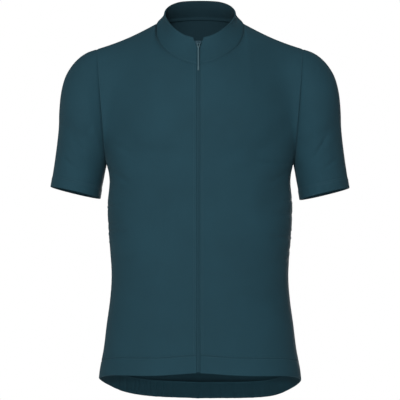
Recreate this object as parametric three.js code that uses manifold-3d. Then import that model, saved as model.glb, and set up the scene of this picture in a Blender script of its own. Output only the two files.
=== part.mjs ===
// A short-sleeved cycling jersey, filled out as if worn, hollow and open at neck, cuffs and hem.
// Millimetres, +Z up, front towards -Y. The origin is the middle of the neck base.
import * as THREE from 'three';
import Module from 'manifold-3d';

const wasm = await Module();
wasm.setup();

// Cloth and seams
const CLOTH = 1.3;
const DOUBLE_CLOTH = 2.0;
const SEAM_GAP = 0.4;
const DEGREE = Math.PI / 180;
const SAME_PLACE = 0.01;
const AXIS = { x: 0, y: 1, z: 2 };

// Torso
const ARMPIT_Z = -226;
const SHOULDER = { x: 188, y: 4, z: -14.5 };
const ROUNDNESS = 2.35;
const ZIP_SHIFT = -3;
const SHOULDER_SAG = 3.5;
const ARMHOLE_EASE = 0.85;
const ARMHOLE_PULL = 4;
const FOLD_ENDS = 0.12;

// How steeply the yoke's columns leave the chest and arrive at the neck or shoulder seam,
// as shares of their own rise (z) and run (y)
const YOKE_AT_MIDDLE = { leaveZ: 1.15, arriveY: 1.9, arriveZ: 0.7 };
const YOKE_AT_SHOULDER = { leaveZ: 1.6, arriveY: 1.5, arriveZ: 0.12 };

// Hem band and the zip between the two fronts
const HEM_BAND = 31;
const ZIP_HALF_WIDTH = 3.0;
const ZIP_THICKNESS = 1.6;
const ZIP_SHORT = 1;
const FRONT_EDGE_X = ZIP_HALF_WIDTH + SEAM_GAP;

// How finely each piece is faceted
const FRONT_COLUMNS = 12;
const BACK_COLUMNS = 20;
const NECK_COLUMNS = 5;
const YOKE_ROWS = 11;
const LOWER_ROWS = 14;
const GATHER_ROWS = 22;
const ROWS_ABOVE_GATHERS = 3;
const ROWS_BELOW_GATHERS = 7;
const COLLAR_ROWS = 3;
const TAIL_COLUMNS = 60;

// The worn torso below the armpits: half width at the side, depth in front and behind
const TORSO = [
  { z: -226, half: 170.0, front: 117, back: 112 },
  { z: -240, half: 166.5, front: 116, back: 110 },
  { z: -258, half: 165.0, front: 114, back: 107 },
  { z: -297, half: 168.3, front: 111, back: 102 },
  { z: -341, half: 167.1, front: 109, back: 97 },
  { z: -385, half: 163.6, front: 107, back: 93 },
  { z: -429, half: 161.2, front: 105, back: 92 },
  { z: -473, half: 164.2, front: 104, back: 96 },
  { z: -516, half: 170.1, front: 104, back: 103 },
  { z: -560, half: 175.5, front: 105, back: 110 },
  { z: -604, half: 183.4, front: 107, back: 115 },
  { z: -670, half: 188.5, front: 108, back: 117 },
];

// Hem edge round the body, by angle from the middle of the front, and how much lower it hangs
// on the wearer's left
const HEM = [
  { angle: 0, z: -595, leftDrop: 0 },
  { angle: 20, z: -600, leftDrop: 0.3 },
  { angle: 55, z: -603, leftDrop: 1.5 },
  { angle: 80, z: -611, leftDrop: 2.4 },
  { angle: 97, z: -620, leftDrop: 4.2 },
  { angle: 115, z: -633.5, leftDrop: 6.0 },
  { angle: 135, z: -651, leftDrop: 6.0 },
  { angle: 155, z: -661, leftDrop: 3.0 },
  { angle: 180, z: -666, leftDrop: 0 },
];

// Neck seam from the middle of the front, past the shoulder seam, to the middle of the back
const NECK_FRONT = [
  { x: FRONT_EDGE_X, y: -80, z: -48 },
  { x: 23, y: -78, z: -43 },
  { x: 39, y: -72, z: -35.5 },
  { x: 56, y: -60, z: -24.5 },
  { x: 70, y: -42, z: -10 },
  { x: 78.5, y: -18, z: 10 },
  { x: 80, y: 8, z: 33 },
];
const NECK_BACK = [
  { x: 0, y: 70, z: 50 },
  { x: 24, y: 68, z: 49 },
  { x: 47, y: 58, z: 46 },
  { x: 66, y: 40, z: 42.5 },
  { x: 77, y: 22, z: 38.5 },
  { x: 80, y: 8, z: 33 },
];

// Collar top edge from the zip to the middle of the back
const COLLAR_TOP = [
  { x: FRONT_EDGE_X, y: -63, z: -0.5 },
  { x: 25, y: -58.5, z: 6 },
  { x: 42, y: -48, z: 17 },
  { x: 54, y: -33, z: 28.5 },
  { x: 62.5, y: -12, z: 41.5 },
  { x: 65.3, y: 6, z: 50.5 },
  { x: 63, y: 20, z: 60.5 },
  { x: 54.5, y: 35.5, z: 70 },
  { x: 39, y: 46, z: 77 },
  { x: 20, y: 52, z: 79.8 },
  { x: 0, y: 54, z: 80.5 },
];
const COLLAR_HOLLOW = { middle: 1.6, side: 3.4 };
const COLLAR_RAISE = 0.85;

// Step in the collar's top edge beside the zip, in columns away from it and as a share of its height
const COLLAR_NOTCH = { foot: 0.4, top: 0.5, share: 0.12 };

// Sleeve sections from the armhole to the cuff: outer and inner point, half depth, and how far
// the section leans lower at its back. The left sleeve hangs lower by a share of that lean.
const SLEEVE = [
  { outerX: 188.0, outerZ: -14.5, innerX: 170.5, innerZ: -226, depth: 52, lean: 0 },
  { outerX: 206.0, outerZ: -21, innerX: 171.3, innerZ: -229, depth: 57, lean: 0 },
  { outerX: 222.0, outerZ: -32, innerX: 172.0, innerZ: -232, depth: 60.5, lean: 0 },
  { outerX: 236.0, outerZ: -48, innerX: 172.7, innerZ: -235.5, depth: 61.5, lean: 0 },
  { outerX: 246.8, outerZ: -68, innerX: 173.5, innerZ: -239.5, depth: 61, lean: 0.3 },
  { outerX: 253.8, outerZ: -96, innerX: 174.3, innerZ: -244, depth: 60, lean: 0.8 },
  { outerX: 257.2, outerZ: -132, innerX: 175.3, innerZ: -249.5, depth: 58, lean: 1.4 },
  { outerX: 259.2, outerZ: -172, innerX: 176.4, innerZ: -255, depth: 57, lean: 2.0 },
  { outerX: 264.0, outerZ: -212, innerX: 177.6, innerZ: -260.5, depth: 56, lean: 2.7 },
  { outerX: 269.2, outerZ: -246.5, innerX: 178.7, innerZ: -266, depth: 55.5, lean: 3.1 },
];
const CUFF_STEPS = [
  { outerX: 269.5, outerZ: -248.5, innerX: 179.0, innerZ: -268, depth: 55.8, lean: 3.2 },
  { outerX: 272.6, outerZ: -266.3, innerX: 182.3, innerZ: -287.5, depth: 55.5, lean: 3.4 },
];
const CUFF_RAISE = 0.6;
const SLEEVE_MIDDLE_X = 205;
const LEFT_SLEEVE_DROP = 0.65;
const ARMHOLE_GAP = 0.5;

// Broad soft folds: the ends of each in x and z, its half width and how far it sinks
const FRONT_FOLDS = [
  { x1: 160, z1: -150, x2: 95, z2: -222, width: 17, sink: 2.6 },
  { x1: 150, z1: -212, x2: 70, z2: -236, width: 15, sink: 2.2 },
  { x1: 118, z1: -196, x2: 36, z2: -206, width: 20, sink: 2.6 },
  { x1: 164, z1: -262, x2: 116, z2: -300, width: 14, sink: 1.6 },
  { x1: 162, z1: -410, x2: 108, z2: -396, width: 15, sink: 1.5 },
  { x1: 158, z1: -452, x2: 96, z2: -470, width: 16, sink: 1.4 },
];
const BACK_FOLDS = [
  { x1: 158, z1: -150, x2: 92, z2: -205, width: 18, sink: 2.6 },
  { x1: 150, z1: -225, x2: 60, z2: -262, width: 17, sink: 2.0 },
  { x1: 150, z1: -385, x2: 55, z2: -402, width: 16, sink: 2.2 },
  { x1: 140, z1: -352, x2: 82, z2: -340, width: 14, sink: 1.6 },
];
const SLEEVE_FOLDS = [
  { x1: 252, z1: -150, x2: 215, z2: -186, width: 13, sink: 1.8 },
  { x1: 180, z1: -196, x2: 236, z2: -160, width: 14, sink: 2.2 },
];

// Small gathers where the back joins the fronts, by height, and along the tail's elastic
const SIDE_GATHERS = { top: -276, bottom: -404, count: 9, lift: 1.3, reach: 26 };
const GATHER_DRIFT = { shift: 0.25, turns: 7, least: 0.65, waver: 0.35, waverTurns: 11 };
const TAIL_GATHERS = { count: 17, lift: 1.3, halfAngle: 62, fadeAngle: 14 };

// Rear pockets: one panel sewn over the back, in three pockets
const POCKET = {
  count: 3, top: -432, halfAngle: 50, columns: 24, rows: 6,
  belly: 2.2, fullness: 0.7, mouth: 9, mouthRaise: 0.7,
};

// Zip slider near the collar top, and its pull
const SLIDER = { z: -11, width: 11, foot: 7.2, height: 10.5, depth: 2.6, corner: 2.2, bevel: 0.5 };
const BAIL = { width: 1.8, height: 7.0, stand: 3.6, bar: 1.1, corner: 1.4, sunk: 0.4, gapFoot: 0.15 };
const PULL = {
  width: 5.0, slot: 2.6, slotLength: 4.6, bar: 1.2, stem: 2.0, length: 52, end: 2.8,
  corner: 0.6, neck: 1.6, endTaper: 9, endTurn: 7,
};
const PULL_CLEARANCE = 0.35;

const KNIT = 0x1c3f4b;
const LIGHT_KNIT = 0x2a5563;
const COIL = 0x1a3540;
const METAL = 0x3b5f6d;

function material(color, roughness, metalness) {
  return new THREE.MeshStandardMaterial({ color, roughness, metalness });
}

const mix = (a, b, t) => a + (b - a) * t;
const clamp01 = (t) => Math.min(1, Math.max(0, t));
const smooth = (t) => clamp01(t) ** 2 * (3 - 2 * clamp01(t));
const vector = (p) => new THREE.Vector3(p.x, p.y, p.z);

// Smooth reading of a table: the value of one column where the key column has the given value
function readTable(table, key, value, column) {
  const rising = table[table.length - 1][key] > table[0][key];
  let i = 0;
  while (i < table.length - 2 && (rising ? value > table[i + 1][key] : value < table[i + 1][key])) i++;
  const before = table[Math.max(0, i - 1)];
  const start = table[i];
  const end = table[i + 1];
  const after = table[Math.min(table.length - 1, i + 2)];
  const span = end[key] - start[key];
  const t = clamp01((value - start[key]) / span);
  const slopeStart = (end[column] - before[column]) / (end[key] - before[key]) * span;
  const slopeEnd = (after[column] - start[column]) / (after[key] - start[key]) * span;
  return hermite(start[column], slopeStart, end[column], slopeEnd, t);
}

function hermite(a, slopeA, b, slopeB, t) {
  const t2 = t * t;
  const t3 = t2 * t;
  return a * (2 * t3 - 3 * t2 + 1) + slopeA * (t3 - 2 * t2 + t)
    + b * (3 * t2 - 2 * t3) + slopeB * (t3 - t2);
}

// A smooth curve through the rows of a table
function tableCurve(table) {
  return new THREE.CatmullRomCurve3(table.map(vector), false, 'centripetal');
}
const neckFront = tableCurve(NECK_FRONT);
const neckBack = tableCurve(NECK_BACK);

// A point of the neck seam, from the middle (0) to the shoulder seam (1)
function neckPoint(side, along) {
  return (side < 0 ? neckFront : neckBack).getPoint(along);
}

// The part of a panel's columns that end on the neck seam; the rest end on the shoulder seam
const neckShare = (side) => NECK_COLUMNS / (side < 0 ? FRONT_COLUMNS : BACK_COLUMNS / 2);

// Angle round the body of a column: 0 at the zip, 1 at the side seam
const frontStart = Math.asin((FRONT_EDGE_X / TORSO[0].half) ** (ROUNDNESS / 2)) / DEGREE;
const frontAngle = (u) => mix(frontStart, 90, u);
const backAngle = (u) => mix(180, 90, u);

function torsoPoint(angle, z) {
  const half = readTable(TORSO, 'z', z, 'half');
  const depth = angle <= 90 ? -readTable(TORSO, 'z', z, 'front') : readTable(TORSO, 'z', z, 'back');
  const across = Math.abs(Math.sin(angle * DEGREE)) ** (2 / ROUNDNESS);
  const along = Math.abs(Math.cos(angle * DEGREE)) ** (2 / ROUNDNESS);
  return new THREE.Vector3(half * across, depth * along, z);
}

// hand is 1 on the wearer's left and -1 on the right
function hemZ(angle, hand) {
  const drop = hand > 0 ? readTable(HEM, 'angle', angle, 'leftDrop') : 0;
  return readTable(HEM, 'angle', angle, 'z') - drop;
}
const bandZ = (angle, hand) => hemZ(angle, hand) + HEM_BAND;

// Angle round the armhole, from the armpit over the front or the back to the shoulder
const armholeAngle = (v) => Math.PI * v ** ARMHOLE_EASE;

function sectionPoint(section, angle, side) {
  const middleX = (section.outerX + section.innerX) / 2;
  const middleZ = (section.outerZ + section.innerZ) / 2;
  const x = middleX - (section.outerX - section.innerX) / 2 * Math.cos(angle);
  const leaning = side * section.lean * Math.sin(angle);
  const z = middleZ - (section.outerZ - section.innerZ) / 2 * Math.cos(angle) - leaning;
  const y = mix(0, SHOULDER.y, 0.5) + side * section.depth * Math.sin(angle);
  return new THREE.Vector3(x, y, z);
}

// The yoke above the armpits: columns run up from the chest to the neck or shoulder seam.
// side is -1 in front and 1 behind, u goes from the middle to the armhole, v upwards.
function yokePoint(side, u, v) {
  const start = torsoPoint(side < 0 ? frontAngle(u) : backAngle(u), ARMPIT_Z);
  const share = neckShare(side);
  const end = neckPoint(side, Math.min(1, u / share));
  const pastNeck = clamp01((u - share) / (1 - share));
  end.lerp(vector(SHOULDER), pastNeck);
  end.z -= SHOULDER_SAG * Math.sin(Math.PI * pastNeck);
  const rise = end.z - start.z;
  const run = end.y - start.y;
  const turn = smooth(u / share);
  const form = (key) => mix(YOKE_AT_MIDDLE[key], YOKE_AT_SHOULDER[key], turn);
  const point = new THREE.Vector3(
    hermite(start.x, 0, end.x, 0, v),
    hermite(start.y, 0, end.y, run * form('arriveY'), v),
    hermite(start.z, rise * form('leaveZ'), end.z, rise * form('arriveZ'), v),
  );
  const edgeStart = torsoPoint(90, ARMPIT_Z);
  const edgeRise = SHOULDER.z - ARMPIT_Z;
  const edgeRun = SHOULDER.y - edgeStart.y;
  const { leaveZ, arriveY, arriveZ } = YOKE_AT_SHOULDER;
  const plainEdge = new THREE.Vector3(
    hermite(edgeStart.x, 0, SHOULDER.x, 0, v),
    hermite(edgeStart.y, 0, SHOULDER.y, edgeRun * arriveY, v),
    hermite(ARMPIT_Z, edgeRise * leaveZ, SHOULDER.z, edgeRise * arriveZ, v),
  );
  const armhole = sectionPoint(SLEEVE[0], armholeAngle(v), side);
  return point.addScaledVector(armhole.sub(plainEdge), u ** ARMHOLE_PULL);
}

// How far a set of folds sinks the surface at a place seen from the front
function foldSink(folds, point) {
  let sink = 0;
  for (const fold of folds) {
    const dx = fold.x2 - fold.x1;
    const dz = fold.z2 - fold.z1;
    const t = ((Math.abs(point.x) - fold.x1) * dx + (point.z - fold.z1) * dz) / (dx * dx + dz * dz);
    const near = clamp01(t);
    const away = Math.hypot(Math.abs(point.x) - fold.x1 - near * dx, point.z - fold.z1 - near * dz);
    const fade = Math.sin(Math.PI * mix(FOLD_ENDS, 1 - FOLD_ENDS, near));
    sink += fold.sink * fade * Math.exp(-((away / fold.width) ** 2));
  }
  return sink;
}

// A grid of points: rows of columns, from a function of the row and column numbers
function grid(rows, columns, pointAt) {
  return Array.from({ length: rows + 1 }, (_, r) =>
    Array.from({ length: columns + 1 }, (_, c) => pointAt(r, c)));
}

// Unit normals of a grid, by its neighbouring points; wrapped when its columns close on themselves
function gridNormals(points, closed) {
  const last = points[0].length - 1;
  return points.map((row, r) => row.map((_, c) => {
    const below = points[Math.max(0, r - 1)][c];
    const above = points[Math.min(points.length - 1, r + 1)][c];
    const left = closed ? row[(c + last) % (last + 1)] : row[Math.max(0, c - 1)];
    const right = closed ? row[(c + 1) % (last + 1)] : row[Math.min(last, c + 1)];
    const up = above.clone().sub(below);
    const across = right.clone().sub(left);
    return across.cross(up).normalize();
  }));
}

// Moves an open grid's edges inward along the cloth, so that sewn pieces lie a seam gap apart
function seamed(points, edges) {
  const step = SEAM_GAP / 2;
  const rows = points.length - 1;
  const columns = points[0].length - 1;
  const pull = (point, towards) => {
    const way = towards.clone().sub(point);
    point.addScaledVector(way.normalize(), step);
  };
  if (edges.includes('bottom')) points[0].forEach((p, c) => pull(p, points[1][c]));
  if (edges.includes('top')) points[rows].forEach((p, c) => pull(p, points[rows - 1][c]));
  if (edges.includes('start')) points.forEach((row) => pull(row[0], row[1]));
  if (edges.includes('end')) points.forEach((row) => pull(row[columns], row[columns - 1]));
  return points;
}

// A closed wall of cloth under a grid of outer points. lift raises single points outward.
// level gives the part of the normal to leave out at a point, so that seam edges meet face to face.
function clothWall(points, thickness, options) {
  const { closed = false, outward, lift = () => 0, level = () => null } = options;
  const normals = gridNormals(points, closed);
  normals.forEach((row, r) => row.forEach((normal, c) => {
    const left = level(r, c);
    if (left) normal.setComponent(AXIS[left], 0).normalize();
  }));
  const middle = points[Math.floor(points.length / 2)];
  const probe = normals[Math.floor(points.length / 2)][Math.floor(middle.length / 2)];
  const sign = probe.dot(outward(middle[Math.floor(middle.length / 2)])) > 0 ? 1 : -1;
  const outer = points.map((row, r) => row.map((p, c) =>
    p.clone().addScaledVector(normals[r][c], sign * lift(p, r, c))));
  const inner = points.map((row, r) => row.map((p, c) =>
    p.clone().addScaledVector(normals[r][c], sign * (Math.min(0, lift(p, r, c)) - thickness))));
  const rows = points.length;
  const columns = points[0].length;
  const positions = [...outer.flat(), ...inner.flat()].flatMap((p) => [p.x, p.y, p.z]);
  const innerStart = rows * columns;
  const index = [];
  const quad = (a, b, c, d) => index.push(a, b, c, a, c, d);
  const wraps = closed ? columns : columns - 1;
  for (let r = 0; r < rows - 1; r++) {
    for (let c = 0; c < wraps; c++) {
      const next = (c + 1) % columns;
      const here = r * columns;
      const above = here + columns;
      const corners = [here + c, here + next, above + next, above + c];
      quad(...corners);
      quad(...corners.map((i) => i + innerStart).reverse());
    }
  }
  for (let c = 0; c < wraps; c++) {
    const next = (c + 1) % columns;
    const top = (rows - 1) * columns;
    quad(next, c, c + innerStart, next + innerStart);
    quad(top + c, top + next, top + next + innerStart, top + c + innerStart);
  }
  if (!closed) {
    for (let r = 0; r < rows - 1; r++) {
      const here = r * columns;
      const above = here + columns;
      quad(here, above, above + innerStart, here + innerStart);
      quad(above + columns - 1, here + columns - 1,
        here + columns - 1 + innerStart, above + columns - 1 + innerStart);
    }
  }
  return closedGeometry(positions, index);
}

// Buffer geometry whose faces look outward, turned over where its volume comes out negative
function closedGeometry(positions, index) {
  let volume = 0;
  const corner = (i) => new THREE.Vector3(...positions.slice(3 * i, 3 * i + 3));
  for (let i = 0; i < index.length; i += 3) {
    const [a, b, c] = [corner(index[i]), corner(index[i + 1]), corner(index[i + 2])];
    volume += a.dot(b.cross(c));
  }
  const faces = volume < 0 ? index.slice().reverse() : index;
  const geometry = new THREE.BufferGeometry();
  geometry.setAttribute('position', new THREE.Float32BufferAttribute(positions, 3));
  geometry.setIndex(faces);
  geometry.computeVertexNormals();
  return geometry;
}

const awayFromAxis = (p) => new THREE.Vector3(p.x, p.y, 0);

// Heights of the rows below the armpits, closer together where the sides are gathered
function lowerShares(fine) {
  const shares = [];
  if (!fine) {
    for (let i = 0; i <= LOWER_ROWS; i++) shares.push(i / LOWER_ROWS);
    return shares;
  }
  const length = ARMPIT_Z - bandZ(90, -1);
  const top = (ARMPIT_Z - SIDE_GATHERS.top) / length;
  const bottom = (ARMPIT_Z - SIDE_GATHERS.bottom) / length;
  for (let i = 0; i < ROWS_ABOVE_GATHERS; i++) shares.push(top * i / ROWS_ABOVE_GATHERS);
  for (let i = 0; i < GATHER_ROWS; i++) shares.push(mix(top, bottom, i / GATHER_ROWS));
  for (let i = 0; i <= ROWS_BELOW_GATHERS; i++) shares.push(mix(bottom, 1, i / ROWS_BELOW_GATHERS));
  return shares;
}

// Gathers beside the side seam: a wave down the seam that fades away from it
function sideGather(point, seamDistance, phase) {
  const t = (SIDE_GATHERS.top - point.z) / (SIDE_GATHERS.top - SIDE_GATHERS.bottom);
  if (t <= 0 || t >= 1) return 0;
  const drift = GATHER_DRIFT.shift * Math.sin(GATHER_DRIFT.turns * t);
  const wave = Math.sin(2 * Math.PI * (SIDE_GATHERS.count * t + phase + drift));
  const uneven = GATHER_DRIFT.least + GATHER_DRIFT.waver * Math.sin(GATHER_DRIFT.waverTurns * t + phase);
  return SIDE_GATHERS.lift * uneven * wave * Math.sin(Math.PI * t) ** 0.5
    * Math.exp(-((seamDistance / SIDE_GATHERS.reach) ** 2));
}

// A point of a panel, in rows from its hem band seam up to the neck and shoulder
function panelPoint(side, hand, u, row, shares) {
  const lowerCount = shares.length - 1;
  if (row > lowerCount) return mirrored(yokePoint(side, u, (row - lowerCount) / YOKE_ROWS), hand);
  const angle = side < 0 ? frontAngle(u) : backAngle(u);
  const z = mix(ARMPIT_Z, bandZ(angle, hand), shares[lowerCount - row]);
  return mirrored(torsoPoint(angle, z), hand);
}

function mirrored(point, hand) {
  point.x *= hand;
  return point;
}

// The zip sits a little to one side of the middle, and the front cloth goes with it
function shifted(point, u) {
  point.x += ZIP_SHIFT * (1 - smooth(u / neckShare(-1)));
  return point;
}

function frontPanel(hand) {
  const shares = lowerShares(false);
  const rows = shares.length - 1 + YOKE_ROWS;
  const points = grid(rows, FRONT_COLUMNS, (r, c) => {
    const u = c / FRONT_COLUMNS;
    return shifted(panelPoint(-1, hand, u, r, shares), u);
  });
  seamed(points, ['bottom', 'top', 'end']);
  const lift = (p, r, c) => -foldSink(FRONT_FOLDS, p) * edgeFade(r, rows, c, FRONT_COLUMNS);
  const level = (r, c) => onSeam(-1, c / FRONT_COLUMNS, r, rows);
  return clothWall(points, CLOTH, { outward: awayFromAxis, lift, level });
}

// Edges on the side seam and the shoulder seam face straight forward or back
function onSeam(side, u, row, rows) {
  const onSide = u === 1 && row <= rows - YOKE_ROWS;
  const onShoulder = row === rows && u > neckShare(side) - SAME_PLACE;
  return onSide || onShoulder ? 'y' : null;
}

// Folds die out at a panel's edges, so that the seams stay closed
function edgeFade(r, rows, c, columns) {
  const fromRow = Math.min(r, rows - r) / 2;
  const fromColumn = (columns - c) / 2;
  return clamp01(fromRow) * clamp01(fromColumn);
}

function backPanel() {
  const shares = lowerShares(true);
  const rows = shares.length - 1 + YOKE_ROWS;
  const half = BACK_COLUMNS / 2;
  const points = grid(rows, BACK_COLUMNS, (r, c) => {
    return panelPoint(1, c < half ? -1 : 1, Math.abs(c - half) / half, r, shares);
  });
  seamed(points, ['bottom', 'top', 'start', 'end']);
  const lift = (p, r, c) => {
    const fromSeam = half - Math.abs(c - half);
    const fade = clamp01(Math.min(r, rows - r) / 2) * clamp01(fromSeam / 2);
    const seam = torsoPoint(90, p.z);
    const distance = p.z < ARMPIT_Z ? Math.hypot(Math.abs(p.x) - seam.x, p.y) : 1000;
    return sideGather(p, distance, c < half ? 0.1 : 0.6) - foldSink(BACK_FOLDS, p) * fade;
  };
  const level = (r, c) => onSeam(1, Math.abs(c - half) / half, r, rows);
  return clothWall(points, CLOTH, { outward: awayFromAxis, lift, level });
}

// The turned hem band under the fronts, a doubled strip
function frontBand(hand) {
  const points = grid(2, FRONT_COLUMNS, (r, c) => {
    const u = c / FRONT_COLUMNS;
    const angle = frontAngle(u);
    const point = torsoPoint(angle, mix(hemZ(angle, hand), bandZ(angle, hand), r / 2));
    return shifted(mirrored(point, hand), u);
  });
  seamed(points, ['top', 'end']);
  const level = (r, c) => (c === FRONT_COLUMNS ? 'y' : null);
  return clothWall(points, DOUBLE_CLOTH, { outward: awayFromAxis, level });
}

// The elastic tail band under the back, gathered towards its free edge
function tailBand() {
  const half = TAIL_COLUMNS / 2;
  const bandPoint = (u, share) => {
    const hand = u < 0 ? -1 : 1;
    const angle = backAngle(Math.abs(u));
    return mirrored(torsoPoint(angle, mix(hemZ(angle, hand), bandZ(angle, hand), share)), hand);
  };
  const points = grid(3, TAIL_COLUMNS, (r, c) => {
    if (r < 3) return bandPoint((c - half) / half, r / 3);
    const column = c * BACK_COLUMNS / TAIL_COLUMNS;
    const before = Math.floor(column);
    const across = (i) => i * 2 / BACK_COLUMNS - 1;
    const edge = bandPoint(across(before), 1);
    return column > before ? edge.lerp(bandPoint(across(before + 1), 1), column - before) : edge;
  });
  seamed(points, ['top', 'start', 'end']);
  const lift = (p, r, c) => {
    const turn = (c - half) / half * 90;
    const share = clamp01((TAIL_GATHERS.halfAngle - Math.abs(turn)) / TAIL_GATHERS.fadeAngle);
    const wave = Math.sin(Math.PI * TAIL_GATHERS.count * turn / TAIL_GATHERS.halfAngle);
    return TAIL_GATHERS.lift * share * (1 - r / 3) * wave;
  };
  const level = (r, c) => (c % TAIL_COLUMNS === 0 ? 'y' : null);
  return clothWall(points, DOUBLE_CLOTH, { outward: awayFromAxis, lift, level });
}

// A sleeve from its armhole to its turned cuff
function sleeve(hand) {
  const sections = [...SLEEVE, ...CUFF_STEPS];
  const angles = [];
  for (let i = 0; i <= YOKE_ROWS; i++) angles.push({ angle: armholeAngle(i / YOKE_ROWS), side: -1 });
  for (let i = YOKE_ROWS - 1; i > 0; i--) angles.push({ angle: armholeAngle(i / YOKE_ROWS), side: 1 });
  const points = grid(sections.length - 1, angles.length - 1, (r, c) => {
    const point = sectionPoint(sections[r], angles[c].angle, angles[c].side);
    point.x += r === 0 ? ARMHOLE_GAP : 0;
    point.z -= hand > 0 ? LEFT_SLEEVE_DROP * sections[r].lean : 0;
    return mirrored(point, hand);
  });
  const cuffStart = SLEEVE.length;
  const lift = (p, r) => {
    if (r >= cuffStart) return CUFF_RAISE;
    const fade = Math.min(1, r / 2, (SLEEVE.length - 1 - r) / 2);
    return -foldSink(SLEEVE_FOLDS, p) * Math.max(0, fade);
  };
  const outward = (p) => new THREE.Vector3(p.x - hand * SLEEVE_MIDDLE_X, p.y, 0);
  return clothWall(points, CLOTH, { closed: true, outward, lift });
}

// The stand collar, from the neck seam to its top edge, open at the zip
const COLLAR_HALF_COLUMNS = 4 * NECK_COLUMNS;
const collarTopEdge = tableCurve(COLLAR_TOP);

// Its base follows the panels' own neck edge, from the zip (0) to the middle of the back
const neckLine = [];
for (let i = 0; i <= NECK_COLUMNS; i++) neckLine.push(neckPoint(-1, i / NECK_COLUMNS));
for (let i = NECK_COLUMNS - 1; i >= 0; i--) neckLine.push(neckPoint(1, i / NECK_COLUMNS));

function collarPoint(column, share) {
  const before = Math.min(Math.floor(column / 2), neckLine.length - 2);
  const base = neckLine[before].clone().lerp(neckLine[before + 1], column / 2 - before);
  base.z += COLLAR_RAISE;
  const point = base.lerp(collarTopEdge.getPoint(column / COLLAR_HALF_COLUMNS), share);
  const out = new THREE.Vector3(point.x, point.y, 0).normalize();
  const turn = Math.sin(Math.PI * column / COLLAR_HALF_COLUMNS);
  const hollow = mix(COLLAR_HOLLOW.middle, COLLAR_HOLLOW.side, turn);
  return point.addScaledVector(out, -hollow * Math.sin(Math.PI * share));
}

function collar() {
  const half = [0, COLLAR_NOTCH.foot, COLLAR_NOTCH.top];
  for (let column = 1; column <= COLLAR_HALF_COLUMNS; column++) half.push(column);
  const last = half.length - 1;
  const points = grid(COLLAR_ROWS, 2 * last, (r, c) => {
    const column = half[last - Math.abs(c - last)];
    const height = column > COLLAR_NOTCH.foot ? 1 : 1 - COLLAR_NOTCH.share;
    const point = mirrored(collarPoint(column, height * r / COLLAR_ROWS), c < last ? -1 : 1);
    return shifted(point, neckShare(-1) * column / (2 * NECK_COLUMNS));
  });
  const level = (r, c) => (c % (2 * last) === 0 ? 'x' : null);
  return clothWall(points, DOUBLE_CLOTH, { outward: awayFromAxis, level });
}

// The zip: a narrow strip on the middle line, from hem to collar top
function zipLine() {
  const shares = lowerShares(false);
  const rows = shares.length - 1 + YOKE_ROWS;
  const line = [];
  for (let i = 0; i < 2; i++) {
    const angle = frontAngle(0);
    line.push(torsoPoint(angle, mix(hemZ(angle, -1) + ZIP_SHORT, bandZ(angle, -1), i / 2)));
  }
  for (let r = 0; r <= rows; r++) line.push(panelPoint(-1, -1, 0, r, shares));
  for (let r = 1; r <= COLLAR_ROWS; r++) {
    const point = collarPoint(0, r / COLLAR_ROWS * (1 - COLLAR_NOTCH.share));
    point.z -= r === COLLAR_ROWS ? ZIP_SHORT : 0;
    line.push(point);
  }
  line.forEach((p) => { p.x = ZIP_SHIFT; });
  return line;
}

function zipStrip(line) {
  const offsets = [-ZIP_HALF_WIDTH, ZIP_HALF_WIDTH];
  const points = line.map((p) => offsets.map((dx) => new THREE.Vector3(p.x + dx, p.y, p.z)));
  return clothWall(points, ZIP_THICKNESS, { outward: () => new THREE.Vector3(0, -1, 0) });
}

// The rear pockets: one panel over the back, with a softly filled belly in each third
function pocketPanel() {
  const points = grid(POCKET.rows, POCKET.columns, (r, c) => {
    const turn = mix(-POCKET.halfAngle, POCKET.halfAngle, c / POCKET.columns);
    const hand = turn < 0 ? -1 : 1;
    const angle = 180 - Math.abs(turn);
    const foot = bandZ(angle, hand) + SEAM_GAP;
    return mirrored(torsoPoint(angle, mix(foot, POCKET.top, r / POCKET.rows)), hand);
  });
  const topRow = points[POCKET.rows].map((p) => {
    const mouth = p.clone();
    mouth.z += POCKET.mouth;
    return torsoSurfaceNear(mouth);
  });
  points.push(topRow);
  const lift = (p, r, c) => {
    const third = Math.abs(Math.sin(Math.PI * POCKET.count * c / POCKET.columns));
    const height = Math.sin(Math.PI * clamp01(r / (POCKET.rows + 1)));
    const raise = r >= POCKET.rows ? POCKET.mouthRaise : 0;
    return CLOTH + SEAM_GAP + POCKET.belly * third ** POCKET.fullness * height + raise;
  };
  return clothWallOver(points, CLOTH, lift);
}

// The torso's own surface at the height and side of a point
function torsoSurfaceNear(point) {
  const half = readTable(TORSO, 'z', point.z, 'half');
  const back = readTable(TORSO, 'z', point.z, 'back');
  const across = clamp01(Math.abs(point.x) / half);
  const along = (1 - across ** ROUNDNESS) ** (1 / ROUNDNESS);
  return new THREE.Vector3(point.x, back * along, point.z);
}

// A wall whose whole thickness is carried out from the points that it lies on
function clothWallOver(points, thickness, lift) {
  const normals = gridNormals(points, false);
  const centre = normals[1][Math.floor(normals[1].length / 2)];
  const sign = centre.y > 0 ? 1 : -1;
  const raised = points.map((row, r) => row.map((p, c) =>
    p.clone().addScaledVector(normals[r][c], sign * lift(p, r, c))));
  return clothWall(raised, thickness, { outward: awayFromAxis });
}

// Small hard parts, worked out on the zip's own line
function toManifold(geometry) {
  const merged = mergeByPlace(geometry);
  return new wasm.Manifold(new wasm.Mesh({
    numProp: 3, vertProperties: merged.positions, triVerts: merged.index,
  }));
}

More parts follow.
